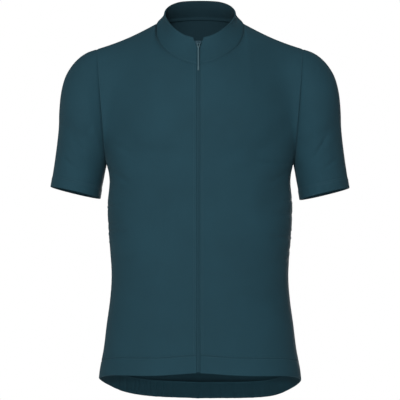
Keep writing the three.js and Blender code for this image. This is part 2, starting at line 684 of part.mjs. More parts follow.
function mergeByPlace(geometry) {
  const source = geometry.index ? geometry.toNonIndexed() : geometry;
  const place = source.getAttribute('position');
  const seen = new Map();
  const positions = [];
  const index = [];
  const merge = (i) => {
    const p = [place.getX(i), place.getY(i), place.getZ(i)];
    const key = p.map((n) => Math.round(n * 1e4)).join(',');
    if (!seen.has(key)) {
      seen.set(key, positions.length / 3);
      positions.push(...p);
    }
    return seen.get(key);
  };
  for (let i = 0; i < place.count; i += 3) {
    const face = [merge(i), merge(i + 1), merge(i + 2)];
    if (new Set(face).size === 3) index.push(...face);
  }
  return { positions: new Float32Array(positions), index: new Uint32Array(index) };
}

function fromManifold(solid) {
  const mesh = solid.getMesh();
  const geometry = new THREE.BufferGeometry();
  geometry.setAttribute('position', new THREE.BufferAttribute(new Float32Array(mesh.vertProperties), 3));
  geometry.setIndex(new THREE.BufferAttribute(new Uint32Array(mesh.triVerts), 1));
  geometry.computeVertexNormals();
  return geometry;
}

// The plate's outline: wide at the top, tapered to its foot, with rounded corners
function platePath(inset) {
  const top = SLIDER.width / 2 - inset;
  const foot = SLIDER.foot / 2 - inset;
  const high = SLIDER.height / 2 - inset;
  const corner = SLIDER.corner;
  const shape = new THREE.Shape();
  shape.moveTo(-foot + corner / 2, -high);
  shape.lineTo(foot - corner / 2, -high);
  shape.quadraticCurveTo(foot, -high, foot, -high + corner);
  shape.lineTo(top, high - corner - SLIDER.height / 4);
  shape.lineTo(top, high - corner);
  shape.quadraticCurveTo(top, high, top - corner, high);
  shape.lineTo(-top + corner, high);
  shape.quadraticCurveTo(-top, high, -top, high - corner);
  shape.lineTo(-top, high - corner - SLIDER.height / 4);
  shape.lineTo(-foot, -high + corner);
  shape.quadraticCurveTo(-foot, -high, -foot + corner / 2, -high);
  return shape;
}

// An outline's points, without those that lie on the one before
function withoutRepeats(points) {
  const before = (i) => points[(i + points.length - 1) % points.length];
  return points.filter((p, i) => p.distanceTo(before(i)) > SAME_PLACE);
}

// The slider: a rounded plate on the zip and a bail that holds the pull.
// Its own frame has +Z out of the cloth, +Y up the zip.
function sliderGeometry() {
  const bevel = SLIDER.bevel;
  const plate = new THREE.ExtrudeGeometry(platePath(bevel), {
    depth: SLIDER.depth - 2 * bevel, bevelEnabled: true, bevelThickness: bevel, bevelSize: bevel,
    bevelSegments: 1, curveSegments: 3,
  });
  plate.translate(0, 0, bevel);
  const bailShape = new THREE.Shape();
  const halfBail = BAIL.height / 2;
  const { stand, corner } = BAIL;
  bailShape.moveTo(-BAIL.sunk, -halfBail);
  bailShape.lineTo(stand - corner, -halfBail);
  bailShape.quadraticCurveTo(stand, -halfBail, stand, -halfBail + corner);
  bailShape.lineTo(stand, halfBail - corner);
  bailShape.quadraticCurveTo(stand, halfBail, stand - corner, halfBail);
  bailShape.lineTo(-BAIL.sunk, halfBail);
  const gap = new THREE.Path();
  gap.moveTo(BAIL.gapFoot, -halfBail + BAIL.bar);
  gap.lineTo(stand - BAIL.bar, -halfBail + BAIL.bar);
  gap.lineTo(stand - BAIL.bar, halfBail - BAIL.bar);
  gap.lineTo(BAIL.gapFoot, halfBail - BAIL.bar);
  bailShape.holes.push(gap);
  const bail = new THREE.ExtrudeGeometry(bailShape, {
    depth: BAIL.width, bevelEnabled: false, curveSegments: 3,
  });
  bail.translate(0, 0, -BAIL.width / 2);
  bail.rotateY(-Math.PI / 2);
  bail.translate(0, 0, SLIDER.depth);
  return fromManifold(toManifold(plate).add(toManifold(bail)));
}

// The pull: a flat tab whose slot goes round the bail, with a stem and a rounded end.
// Its own frame has the hinge on the x axis and the tab hanging along -Y.
function pullGeometry() {
  const shape = new THREE.Shape();
  const top = PULL.bar / 2;
  const slotBottom = -top - PULL.slotLength;
  const headTurn = slotBottom + PULL.corner;
  const headBottom = slotBottom - PULL.bar;
  const neck = headBottom - PULL.neck;
  const x = PULL.width / 2;
  const stem = PULL.stem / 2;
  const end = PULL.end / 2;
  const taper = PULL.endTaper - PULL.length;
  const turn = PULL.endTurn - PULL.length;
  shape.moveTo(-x + PULL.corner, top);
  shape.lineTo(x - PULL.corner, top);
  shape.quadraticCurveTo(x, top, x, top - PULL.corner);
  shape.lineTo(x, headTurn);
  shape.quadraticCurveTo(x, headBottom, stem, neck);
  shape.lineTo(stem, taper);
  shape.quadraticCurveTo(end, turn, end, -PULL.length + end);
  shape.absarc(0, -PULL.length + end, end, 0, -Math.PI, true);
  shape.quadraticCurveTo(-end, turn, -stem, taper);
  shape.lineTo(-stem, neck);
  shape.quadraticCurveTo(-x, headBottom, -x, headTurn);
  shape.lineTo(-x, top - PULL.corner);
  shape.quadraticCurveTo(-x, top, -x + PULL.corner, top);
  const slot = new THREE.Path();
  slot.moveTo(-PULL.slot / 2, -top);
  slot.lineTo(-PULL.slot / 2, slotBottom);
  slot.lineTo(PULL.slot / 2, slotBottom);
  slot.lineTo(PULL.slot / 2, -top);
  const outline = new THREE.Shape(withoutRepeats(shape.getPoints(5)));
  outline.holes.push(slot);
  const geometry = new THREE.ExtrudeGeometry(outline, {
    depth: PULL.bar, bevelEnabled: false, curveSegments: 5,
  });
  geometry.translate(0, 0, -PULL.bar / 2);
  return fromManifold(toManifold(geometry));
}

const jersey = new THREE.Group();

function add(name, geometry, look) {
  const mesh = new THREE.Mesh(geometry, look);
  mesh.name = name;
  jersey.add(mesh);
  return mesh;
}

for (const [name, hand] of [['right', -1], ['left', 1]]) {
  add(`front_${name}`, frontPanel(hand), material(KNIT, 0.9, 0));
  add(`front_hem_band_${name}`, frontBand(hand), material(KNIT, 0.9, 0));
  add(`sleeve_${name}`, sleeve(hand), material(KNIT, 0.9, 0));
}
add('back', backPanel(), material(KNIT, 0.9, 0));
add('tail_band', tailBand(), material(LIGHT_KNIT, 0.9, 0));
add('rear_pockets', pocketPanel(), material(KNIT, 0.9, 0));
add('collar', collar(), material(KNIT, 0.88, 0));

const line = zipLine();
add('zip', zipStrip(line), material(COIL, 0.7, 0));

// The slider stands on the zip, square to it, and the pull leans back until it rests on the cloth
function lineY(z) {
  for (let i = 0; i < line.length - 1; i++) {
    const [a, b] = [line[i], line[i + 1]];
    if (z >= a.z && z <= b.z) return mix(a.y, b.y, (z - a.z) / (b.z - a.z));
  }
  return line[line.length - 1].y;
}
const zipLean = Math.atan2(
  lineY(SLIDER.z + SLIDER.height / 2) - lineY(SLIDER.z - SLIDER.height / 2), SLIDER.height);
const outOfZip = new THREE.Vector3(0, -Math.cos(zipLean), Math.sin(zipLean));
const sliderSeat = new THREE.Vector3(ZIP_SHIFT, lineY(SLIDER.z), SLIDER.z)
  .addScaledVector(outOfZip, SEAM_GAP);
const slider = add('zip_slider', sliderGeometry(), material(METAL, 0.5, 0.6));
slider.position.copy(sliderSeat);
slider.rotation.x = Math.PI / 2 - zipLean;

const upZip = new THREE.Vector3(0, Math.sin(zipLean), Math.cos(zipLean));
const hinge = sliderSeat.clone()
  .addScaledVector(outOfZip, SLIDER.depth + PULL_CLEARANCE + PULL.bar / 2 + 0.2)
  .addScaledVector(upZip, -(BAIL.height / 2 - BAIL.bar - PULL_CLEARANCE - PULL.bar / 2));
let pullLean = zipLean;
for (let z = hinge.z - 8; z > hinge.z - PULL.length; z -= 1) {
  const outY = lineY(z) - PULL_CLEARANCE - PULL.bar / 2;
  pullLean = Math.max(pullLean, Math.atan2(hinge.y - outY, hinge.z - z));
}
const pull = add('zip_pull', pullGeometry(), material(METAL, 0.5, 0.6));
pull.position.copy(hinge);
pull.rotation.x = Math.PI / 2 - pullLean;

export default jersey;
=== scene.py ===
"""Looks for the worn, hollow cycling jersey: fine cloth shells, seams, zip and light.

Tables and sizes below are in millimetres and degrees, as in the part's own source;
every mesh is made in metres. Front is towards -Y and +Z is up.
"""
import math

import bpy
import numpy as np
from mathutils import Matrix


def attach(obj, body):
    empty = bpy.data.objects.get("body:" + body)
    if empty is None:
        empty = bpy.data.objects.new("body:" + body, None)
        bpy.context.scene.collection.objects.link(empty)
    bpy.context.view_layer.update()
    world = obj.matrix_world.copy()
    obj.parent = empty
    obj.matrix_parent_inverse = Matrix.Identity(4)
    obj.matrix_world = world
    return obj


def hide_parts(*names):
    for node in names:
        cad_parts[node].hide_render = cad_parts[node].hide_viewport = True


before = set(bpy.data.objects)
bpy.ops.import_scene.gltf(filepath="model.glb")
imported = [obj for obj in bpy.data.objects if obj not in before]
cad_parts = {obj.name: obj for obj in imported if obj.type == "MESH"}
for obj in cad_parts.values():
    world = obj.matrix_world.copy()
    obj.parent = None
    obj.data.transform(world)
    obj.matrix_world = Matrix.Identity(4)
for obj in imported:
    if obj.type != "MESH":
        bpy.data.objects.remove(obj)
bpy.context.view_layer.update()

MM = 0.001

# Cloth and seams
CLOTH = 1.3
DOUBLE_CLOTH = 2.0
SEAM_GAP = 0.24
SEAM_LAP = 0.22
ARMPIT_Z = -226.0
SHOULDER = (188.0, 4.0, -14.5)
ROUNDNESS = 2.35
NECK_SHARE_FRONT = 5 / 12
NECK_SHARE_BACK = 5 / 10
ZIP_SHIFT = -3.0
HEM_BAND = 31.0
ZIP_HALF_WIDTH = 3.0
FRONT_EDGE_X = ZIP_HALF_WIDTH + 0.4

# How steeply the yoke's columns leave the chest and arrive at the neck or shoulder seam
YOKE_AT_MIDDLE = {"leave_z": 1.15, "arrive_y": 1.9, "arrive_z": 0.7}
YOKE_AT_SHOULDER = {"leave_z": 1.6, "arrive_y": 1.5, "arrive_z": 0.12}


def rows(names, *lines):
    """A short table as one array for each named column."""
    values = np.array(lines, dtype=float)
    return {name: values[:, i] for i, name in enumerate(names.split())}


TORSO = rows(
    "z half front back",
    (-670, 188.5, 108, 117),
    (-604, 183.4, 107, 115),
    (-560, 175.5, 105, 110),
    (-516, 170.1, 104, 103),
    (-473, 164.2, 104, 96),
    (-429, 161.2, 105, 92),
    (-385, 163.6, 107, 93),
    (-341, 167.1, 109, 97),
    (-297, 168.3, 111, 102),
    (-258, 165.0, 114, 107),
    (-240, 166.5, 116, 110),
    (-226, 170.0, 117, 112),
)
HEM = rows(
    "angle z left_drop",
    (0, -595, 0), (20, -600, 0.3), (55, -603, 1.5), (80, -611, 2.4), (97, -620, 4.2),
    (115, -633.5, 6.0), (135, -651, 6.0), (155, -661, 3.0), (180, -666, 0),
)
NECK_FRONT = np.array([
    (FRONT_EDGE_X, -80, -48), (23, -78, -43), (39, -72, -35.5), (56, -60, -24.5),
    (70, -42, -10), (78.5, -18, 10), (80, 8, 33),
], dtype=float)
NECK_BACK = np.array([
    (0, 70, 50), (24, 68, 49), (47, 58, 46), (66, 40, 42.5), (77, 22, 38.5), (80, 8, 33),
], dtype=float)
COLLAR_TOP = np.array([
    (FRONT_EDGE_X, -63, -0.5), (25, -58.5, 6), (42, -48, 17), (54, -33, 28.5),
    (62.5, -12, 41.5), (65.3, 6, 50.5), (63, 20, 60.5), (54.5, 35.5, 70),
    (39, 46, 77), (20, 52, 79.8), (0, 54, 80.5),
], dtype=float)
COLLAR_HOLLOW = {"middle": 1.6, "side": 3.4}
NOTCH = {"reach": 5.4, "turn": 1.6, "share": 0.12}
SHOULDER_SAG = 3.5
ARMHOLE_EASE = 0.85
ARMHOLE_PULL = 4
SLEEVE = rows(
    "outer_x outer_z inner_x inner_z depth lean",
    (188.0, -14.5, 170.5, -226.0, 52.0, 0),
    (206.0, -21.0, 171.3, -229.0, 57.0, 0),
    (222.0, -32.0, 172.0, -232.0, 60.5, 0),
    (236.0, -48.0, 172.7, -235.5, 61.5, 0),
    (246.8, -68.0, 173.5, -239.5, 61.0, 0.3),
    (253.8, -96.0, 174.3, -244.0, 60.0, 0.8),
    (257.2, -132.0, 175.3, -249.5, 58.0, 1.4),
    (259.2, -172.0, 176.4, -255.0, 57.0, 2.0),
    (264.0, -212.0, 177.6, -260.5, 56.0, 2.7),
    (269.2, -246.5, 178.7, -266.0, 55.5, 3.1),
    (272.6, -266.3, 182.3, -287.5, 55.5, 3.4),
)
CUFF_RAISE = 0.6
LEFT_SLEEVE_DROP = 0.65
CUFF_HEM = 20.0

# Soft folds: both ends in x and z, half width and how far each sinks; hand 0 is both sides
FOLD_COLUMNS = "x1 z1 x2 z2 width sink hand"
FRONT_FOLDS = rows(
    FOLD_COLUMNS,
    (160, -150, 95, -222, 17, 2.6, 0),
    (150, -212, 70, -236, 15, 2.2, 0),
    (118, -196, 36, -206, 20, 2.6, 0),
    (164, -262, 116, -300, 14, 1.6, 0),
    (162, -410, 108, -396, 15, 1.5, 0),
    (158, -452, 96, -470, 16, 1.4, 0),
)
BACK_FOLDS = rows(
    FOLD_COLUMNS,
    (158, -150, 92, -205, 18, 2.6, 0),
    (150, -225, 60, -262, 17, 2.0, 0),
    (150, -385, 55, -402, 16, 2.2, 0),
    (140, -352, 82, -340, 14, 1.6, 0),
)
SLEEVE_FOLDS = rows(
    FOLD_COLUMNS,
    (252, -150, 215, -186, 13, 1.8, 0),
    (180, -196, 236, -160, 14, 2.2, 0),
)
# Narrow creases, unlike from side to side: hand 1 is the wearer's left, -1 the right, 0 both
FRONT_CREASES = rows(
    FOLD_COLUMNS,
    (128, -203, 34, -207, 12.0, 2.6, -1),
    (134, -206, 48, -202, 12.0, 2.4, 1),
    (104, -218, 166, -226, 4.6, 2.3, 1),
    (156, -188, 116, -214, 5.5, 1.8, -1),
    (160, -238, 124, -262, 5.5, 1.4, 0),
    (185, -304, 138, -300, 3.2, 1.6, -1),
    (185, -336, 144, -331, 3.0, 1.5, -1),
    (185, -350, 132, -347, 3.4, 1.7, -1),
    (185, -292, 140, -288, 3.0, 1.5, 1),
    (185, -318, 134, -312, 3.6, 1.7, 1),
    (185, -348, 146, -345, 2.8, 1.4, 1),
    (185, -360, 128, -356, 3.4, 1.7, 1),
    (185, -383, 142, -381, 2.8, 1.5, 1),
    (185, -399, 136, -394, 3.2, 1.6, 1),
    (180, -634, 150, -604, 5.0, 0.9, 0),
    (60, -624, 78, -560, 7.0, 0.9, -1),
    (44, -626, 58, -572, 6.0, 0.8, 1),
)
BACK_CREASES = rows(
    FOLD_COLUMNS,
    (150, -196, 112, -230, 5.0, 1.0, -1),
    (156, -214, 120, -240, 5.0, 1.1, 1),
    (185, -300, 130, -304, 3.4, 1.6, 1),
    (185, -330, 138, -338, 3.0, 1.5, -1),
    (185, -352, 126, -350, 3.4, 1.7, 1),
    (185, -376, 134, -382, 3.2, 1.6, -1),
    (70, -170, 30, -186, 7.0, 0.9, 1),
    (64, -160, 22, -172, 8.0, 0.9, -1),
    (120, -300, 60, -312, 8.0, 1.0, -1),
)
SLEEVE_CREASES = rows(
    FOLD_COLUMNS,
    (228, -180, 208, -206, 4.2, 2.2, -1),
    (229, -176, 203, -217, 4.4, 2.6, 1),
    (247, -214, 222, -236, 4.4, 1.4, 0),
    (192, -150, 204, -178, 5.0, 1.4, 0),
)
SIDE_GATHERS = {"top": -276.0, "bottom": -404.0, "count": 9, "lift": 1.3, "reach": 26.0}
# Sharp tucks that the elastic pulls into the tail band
TAIL_TUCKS = rows(
    "x width sink",
    (-117, 1.7, 2.2),
    (-96, 2.2, 2.6),
    (-83, 1.5, 1.8),
    (-71, 1.8, 2.4),
    (-54, 2.2, 2.8),
    (-31, 1.5, 1.6),
    (-4, 2.2, 2.7),
    (19, 1.8, 2.2),
    (39, 1.7, 2.5),
    (66, 2.2, 2.8),
    (87, 1.7, 2.1),
    (102, 2.0, 2.4),
)
TAIL_GATHERS = {"count": 17, "lift": 1.3, "half_angle": 62.0, "fade_angle": 14.0}
POCKET = {"top": -432.0, "half_angle": 50.0, "belly": 2.2, "mouth": 9.0, "mouth_raise": 0.7}


# Camera: level with the garment's middle, from straight in front
CAMERA_DISTANCE = 3.0
SEEN_WIDTH = 0.7304
AIM_Z = -0.290
SENSOR = 36.0


def make_camera():
    data = bpy.data.cameras.new("camera")
    data.sensor_width = SENSOR
    data.lens = SENSOR * CAMERA_DISTANCE / SEEN_WIDTH
    data.clip_end = 50
    camera = bpy.data.objects.new("camera", data)
    camera.location = (0, -CAMERA_DISTANCE, AIM_Z)
    camera.rotation_euler = (math.pi / 2, 0, 0)
    bpy.context.collection.objects.link(camera)
    bpy.context.scene.camera = camera


make_camera()


# Curves and tables
def mix(a, b, t):
    return a + (b - a) * t


def smooth(t):
    t = np.clip(t, 0, 1)
    return t * t * (3 - 2 * t)


def hermite(a, slope_a, b, slope_b, t):
    t2 = t * t
    t3 = t2 * t
    return (a * (2 * t3 - 3 * t2 + 1) + slope_a * (t3 - 2 * t2 + t)
            + b * (3 * t2 - 2 * t3) + slope_b * (t3 - t2))


def read(table, key, value, column):
    """Smooth reading of a table whose key column rises."""
    keys = table[key]
    values = table[column]
    value = np.clip(value, keys[0], keys[-1])
    i = np.clip(np.searchsorted(keys, value, side="right") - 1, 0, len(keys) - 2)
    before = np.maximum(i - 1, 0)
    after = np.minimum(i + 2, len(keys) - 1)
    span = keys[i + 1] - keys[i]
    slope_a = (values[i + 1] - values[before]) / (keys[i + 1] - keys[before]) * span
    slope_b = (values[after] - values[i]) / (keys[after] - keys[i]) * span
    return hermite(values[i], slope_a, values[i + 1], slope_b, (value - keys[i]) / span)


def curve_point(points, along):
    """Points of a centripetal curve through the given points, along from 0 to 1."""
    ends = np.vstack([2 * points[0] - points[1], points, 2 * points[-1] - points[-2]])
    t = np.clip(np.atleast_1d(along), 0, 1) * (len(points) - 1)
    i = np.minimum(t.astype(int), len(points) - 2)
    w = (t - i)[:, None]
    p0, p1, p2, p3 = (ends[i + k] for k in range(4))
    d0, d1, d2 = (np.linalg.norm(b - a, axis=1)[:, None] ** 0.5 for a, b in ((p0, p1), (p1, p2), (p2, p3)))
    m1 = ((p1 - p0) / d0 - (p2 - p0) / (d0 + d1) + (p2 - p1) / d1) * d1
    m2 = ((p2 - p1) / d1 - (p3 - p1) / (d1 + d2) + (p3 - p2) / d2) * d1
    return hermite(p1, m1, p2, m2, w)


# The torso's own surface
def torso_point(angle, z):
    half = read(TORSO, "z", z, "half")
    front = -read(TORSO, "z", z, "front")
    back = read(TORSO, "z", z, "back")
    across = np.abs(np.sin(np.radians(angle))) ** (2 / ROUNDNESS)
    along = np.abs(np.cos(np.radians(angle))) ** (2 / ROUNDNESS)
    return np.stack([half * across, np.where(angle <= 90, front, back) * along, z], axis=-1)


FRONT_START = math.degrees(math.asin((FRONT_EDGE_X / TORSO["half"][-1]) ** (ROUNDNESS / 2)))


def column_angle(side, u):
    return mix(FRONT_START, 90.0, u) if side < 0 else mix(180.0, 90.0, u)


def hem_z(angle, hand):
    drop = read(HEM, "angle", angle, "left_drop")
    return read(HEM, "angle", angle, "z") - np.where(np.asarray(hand) > 0, drop, 0)


def neck_point(side, along):
    return curve_point(NECK_FRONT if side < 0 else NECK_BACK, along)


def section_point(section, angle, side):
    """A point of a sleeve section, angle from its inner (0) to its outer point (pi)."""
    swing = np.cos(angle)
    x = (section["outer_x"] + section["inner_x"]) / 2 - (section["outer_x"] - section["inner_x"]) / 2 * swing
    z = (section["outer_z"] + section["inner_z"]) / 2 - (section["outer_z"] - section["inner_z"]) / 2 * swing
    z = z - side * section["lean"] * np.sin(angle)
    y = SHOULDER[1] / 2 + side * section["depth"] * np.sin(angle)
    return np.stack(np.broadcast_arrays(x, y, z), axis=-1)


ARMHOLE = {name: column[0] for name, column in SLEEVE.items()}


def armhole_angle(v):
    return np.pi * v ** ARMHOLE_EASE


def yoke_point(side, u, v):
    """Points of the yoke above the armpits, for arrays u (columns) and v (rows) of one shape."""
    flat_u = u.ravel()
    start = torso_point(column_angle(side, flat_u), np.full(flat_u.shape, ARMPIT_Z))
    share = NECK_SHARE_FRONT if side < 0 else NECK_SHARE_BACK
    end = neck_point(side, np.minimum(1, flat_u / share))
    past = np.clip((flat_u - share) / (1 - share), 0, 1)[:, None]
    end = mix(end, np.array(SHOULDER), past)
    end[:, 2] -= SHOULDER_SAG * np.sin(np.pi * past[:, 0])
    turn = smooth(flat_u / share)
    form = {k: mix(YOKE_AT_MIDDLE[k], YOKE_AT_SHOULDER[k], turn) for k in YOKE_AT_MIDDLE}
    rise = end[:, 2] - start[:, 2]
    run = end[:, 1] - start[:, 1]
    t = v.ravel()
    point = np.stack([
        hermite(start[:, 0], 0, end[:, 0], 0, t),
        hermite(start[:, 1], 0, end[:, 1], run * form["arrive_y"], t),
        hermite(start[:, 2], rise * form["leave_z"], end[:, 2], rise * form["arrive_z"], t),
    ], axis=-1)
    edge = torso_point(90.0, np.array(ARMPIT_Z))
    edge_rise = SHOULDER[2] - ARMPIT_Z
    plain = np.stack([
        hermite(edge[0], 0, SHOULDER[0], 0, t),
        hermite(edge[1], 0, SHOULDER[1], (SHOULDER[1] - edge[1]) * YOKE_AT_SHOULDER["arrive_y"], t),
        hermite(ARMPIT_Z, edge_rise * YOKE_AT_SHOULDER["leave_z"], SHOULDER[2],
                edge_rise * YOKE_AT_SHOULDER["arrive_z"], t),
    ], axis=-1)
    armhole = section_point(ARMHOLE, armhole_angle(t), side)
    point += (armhole - plain) * (flat_u ** ARMHOLE_PULL)[:, None]
    return point.reshape(u.shape + (3,))


# Where a fold's strength starts on half a sine wave, and how much of the wave it takes
FOLD_START = 0.12
FOLD_SPAN = 0.76


def fold_sink(folds, points, hand):
    """How far the folds sink the cloth at each point, seen in x and z."""
    sink = np.zeros(points.shape[:-1])
    x = np.abs(points[..., 0])
    z = points[..., 2]
    for x1, z1, x2, z2, width, depth, only in zip(*(folds[k] for k in FOLD_COLUMNS.split())):
        if only and only != hand:
            continue
        dx = x2 - x1
        dz = z2 - z1
        near = np.clip(((x - x1) * dx + (z - z1) * dz) / (dx * dx + dz * dz), 0, 1)
        away = np.hypot(x - x1 - near * dx, z - z1 - near * dz)
        fade = np.sin(np.pi * (FOLD_START + FOLD_SPAN * near))
        sink += depth * fade * np.exp(-((away / width) ** 2))
    return sink


def shifted(points, u):
    """The zip sits a little to one side of the middle, and the front cloth goes with it."""
    points[..., 0] += ZIP_SHIFT * (1 - smooth(u / NECK_SHARE_FRONT))
    return points


# Grids and walls of cloth
EDGE_STEPS = (0.35, 0.9, 1.7, 2.8)
CLOSEST_STEP = 0.12


def steps(count, length, fine_start=True, fine_end=True):
    """Shares from 0 to 1, evenly spaced, with closer ones near a sewn edge."""
    shares = set(np.linspace(0, 1, count + 1))
    for step in EDGE_STEPS:
        if fine_start:
            shares.add(step / length)
        if fine_end:
            shares.add(1 - step / length)
    shares = sorted(shares)
    kept = [shares[0]]
    for share in shares[1:]:
        if share - kept[-1] > CLOSEST_STEP / length:
            kept.append(share)
    kept[-1] = 1.0
    return np.array(kept)


def unit(vectors):
    return vectors / np.maximum(np.linalg.norm(vectors, axis=-1, keepdims=True), 1e-9)


def grid_normals(points, closed=False):
    """Outward unit normals of a grid of points; the caller says whether its columns close."""
    up = np.gradient(points, axis=0)
    if closed:
        across = np.roll(points, -1, axis=1) - np.roll(points, 1, axis=1)
    else:
        across = np.gradient(points, axis=1)
    return unit(np.cross(across, up))


def along_rows(points):
    """Distance of each point from its row's start, following the row."""
    gaps = np.linalg.norm(np.diff(points, axis=1), axis=-1)
    return np.hstack([np.zeros((points.shape[0], 1)), np.cumsum(gaps, axis=1)])


def along_columns(points):
    return along_rows(points.transpose(1, 0, 2)).T


class Cloth:
    """A grid of outer points with its normals, and the wall made under it."""

    def __init__(self, points, closed=False, outward=(0, 0)):
        self.points = points
        self.closed = closed
        self.normals = grid_normals(points, closed)
        away = points - np.array([outward[0], outward[1], 0])
        away[..., 2] = 0
        if np.sum(self.normals * away) < 0:
            self.normals = -self.normals
        self.across = along_rows(points)
        self.along = along_columns(points)

    def edge_distance(self, *edges):
        """Distance in the cloth from the nearest of the named edges."""
        distance = np.full(self.across.shape, 1e6)
        for edge in edges:
            if edge == "start":
                here = self.across
            elif edge == "end":
                here = self.across[:, -1:] - self.across
            elif edge == "bottom":
                here = self.along
            else:
                here = self.along[-1:, :] - self.along
            distance = np.minimum(distance, here)
        return distance

    def outer(self, lift):
        return self.points + self.normals * lift[..., None]

    def wall(self, name, lift, thickness):
        """A closed mesh: the lifted outer face, a plain inner face and the rims between."""
        outer = self.outer(lift)
        inner = self.points + self.normals * (np.minimum(lift, 0) - thickness)[..., None]
        return grid_mesh(name, outer, inner, self.closed, self.across, self.along)


# Heights above and below which the cloth's inner face is painted: painted shade inside the neck and collar,
# painted light inside the tail band
NECK_PAINTED_SHADE_FROM = -95.0
NECK_PAINTED_SHADE_FADE = 50.0
TAIL_PAINTED_LIGHT_FROM = -625.0
TAIL_PAINTED_LIGHT_FADE = 10.0


def grid_mesh(name, outer, inner, closed, across, along):
    count_r, count_c = outer.shape[:2]
    vertices = np.concatenate([outer.reshape(-1, 3), inner.reshape(-1, 3)]) * MM
    index = np.arange(count_r * count_c).reshape(count_r, count_c)
    wide = np.hstack([index, index[:, :1]]) if closed else index
    a, b, c, d = wide[:-1, :-1], wide[:-1, 1:], wide[1:, 1:], wide[1:, :-1]
    skin = np.stack([a, b, c, d], axis=-1).reshape(-1, 4)
    shift = count_r * count_c
    faces = [skin, skin[:, ::-1] + shift]

    def rim(line):
        one, two = line[:-1], line[1:]
        return np.stack([two, one, one + shift, two + shift], axis=-1)

    faces.append(rim(wide[0]))
    faces.append(rim(wide[-1][::-1]))
    if not closed:
        faces.append(rim(wide[:, 0][::-1]))
        faces.append(rim(wide[:, -1]))
    faces = np.concatenate(faces)
    mesh = bpy.data.meshes.new(name)
    mesh.from_pydata(vertices.tolist(), [], faces.tolist())
    uv = np.stack([across, along], axis=-1).reshape(-1, 2) * MM
    uv = np.concatenate([uv, uv])
    layer = mesh.uv_layers.new(name="cloth")
    loops = np.empty(len(mesh.loops), dtype=np.int32)
    mesh.loops.foreach_get("vertex_index", loops)
    layer.data.foreach_set("uv", uv[loops].ravel().astype(np.float32))
    # Painted shade and painted light: a colour factor for the inner face only, rising near the neck and
    # below the tail height
    height = inner[..., 2].ravel()
    shade = smooth((height - NECK_PAINTED_SHADE_FROM) / NECK_PAINTED_SHADE_FADE) + smooth((TAIL_PAINTED_LIGHT_FROM - height) / TAIL_PAINTED_LIGHT_FADE)
    inner_painted_light_and_shade = mesh.attributes.new("inner_painted_light_and_shade", "FLOAT", "POINT")
    inner_painted_light_and_shade.data.foreach_set("value", np.concatenate([np.zeros(shift), shade]).astype(np.float32))
    mesh.polygons.foreach_set("use_smooth", np.ones(len(mesh.polygons), dtype=bool))
    mesh.validate()
    face_outward(mesh, vertices, faces)
    return place(name, mesh)


def face_outward(mesh, vertices, faces):
    """Turns the faces over where the closed mesh's volume comes out negative."""
    corner = vertices[faces]
    volume = np.einsum("ij,ij->i", corner[:, 0], np.cross(corner[:, 1], corner[:, 2])).sum()
    volume += np.einsum("ij,ij->i", corner[:, 0], np.cross(corner[:, 2], corner[:, 3])).sum()
    if volume < 0:
        mesh.flip_normals()


def place(name, mesh):
    piece = bpy.data.objects.new(name, mesh)
    bpy.context.collection.objects.link(piece)
    return piece


def sharpen_rims(piece, angle=40):
    """Keeps the cut edges of a wall crisp while its faces shade smoothly."""
    mesh = piece.data
    mesh.set_sharp_from_angle(angle=math.radians(angle))


def mirrored(points, hand):
    points[..., 0] *= hand
    return points


# Materials
def node_material(name):
    material = bpy.data.materials.new(name)
    material.use_nodes = True
    tree = material.node_tree
    return material, tree, tree.nodes["Principled BSDF"]


def add_node(tree, kind, **values):
    node = tree.nodes.new(kind)
    for key, value in values.items():
        if hasattr(node, key):
            setattr(node, key, value)
        else:
            node.inputs[key.replace("_", " ")].default_value = value
    return node


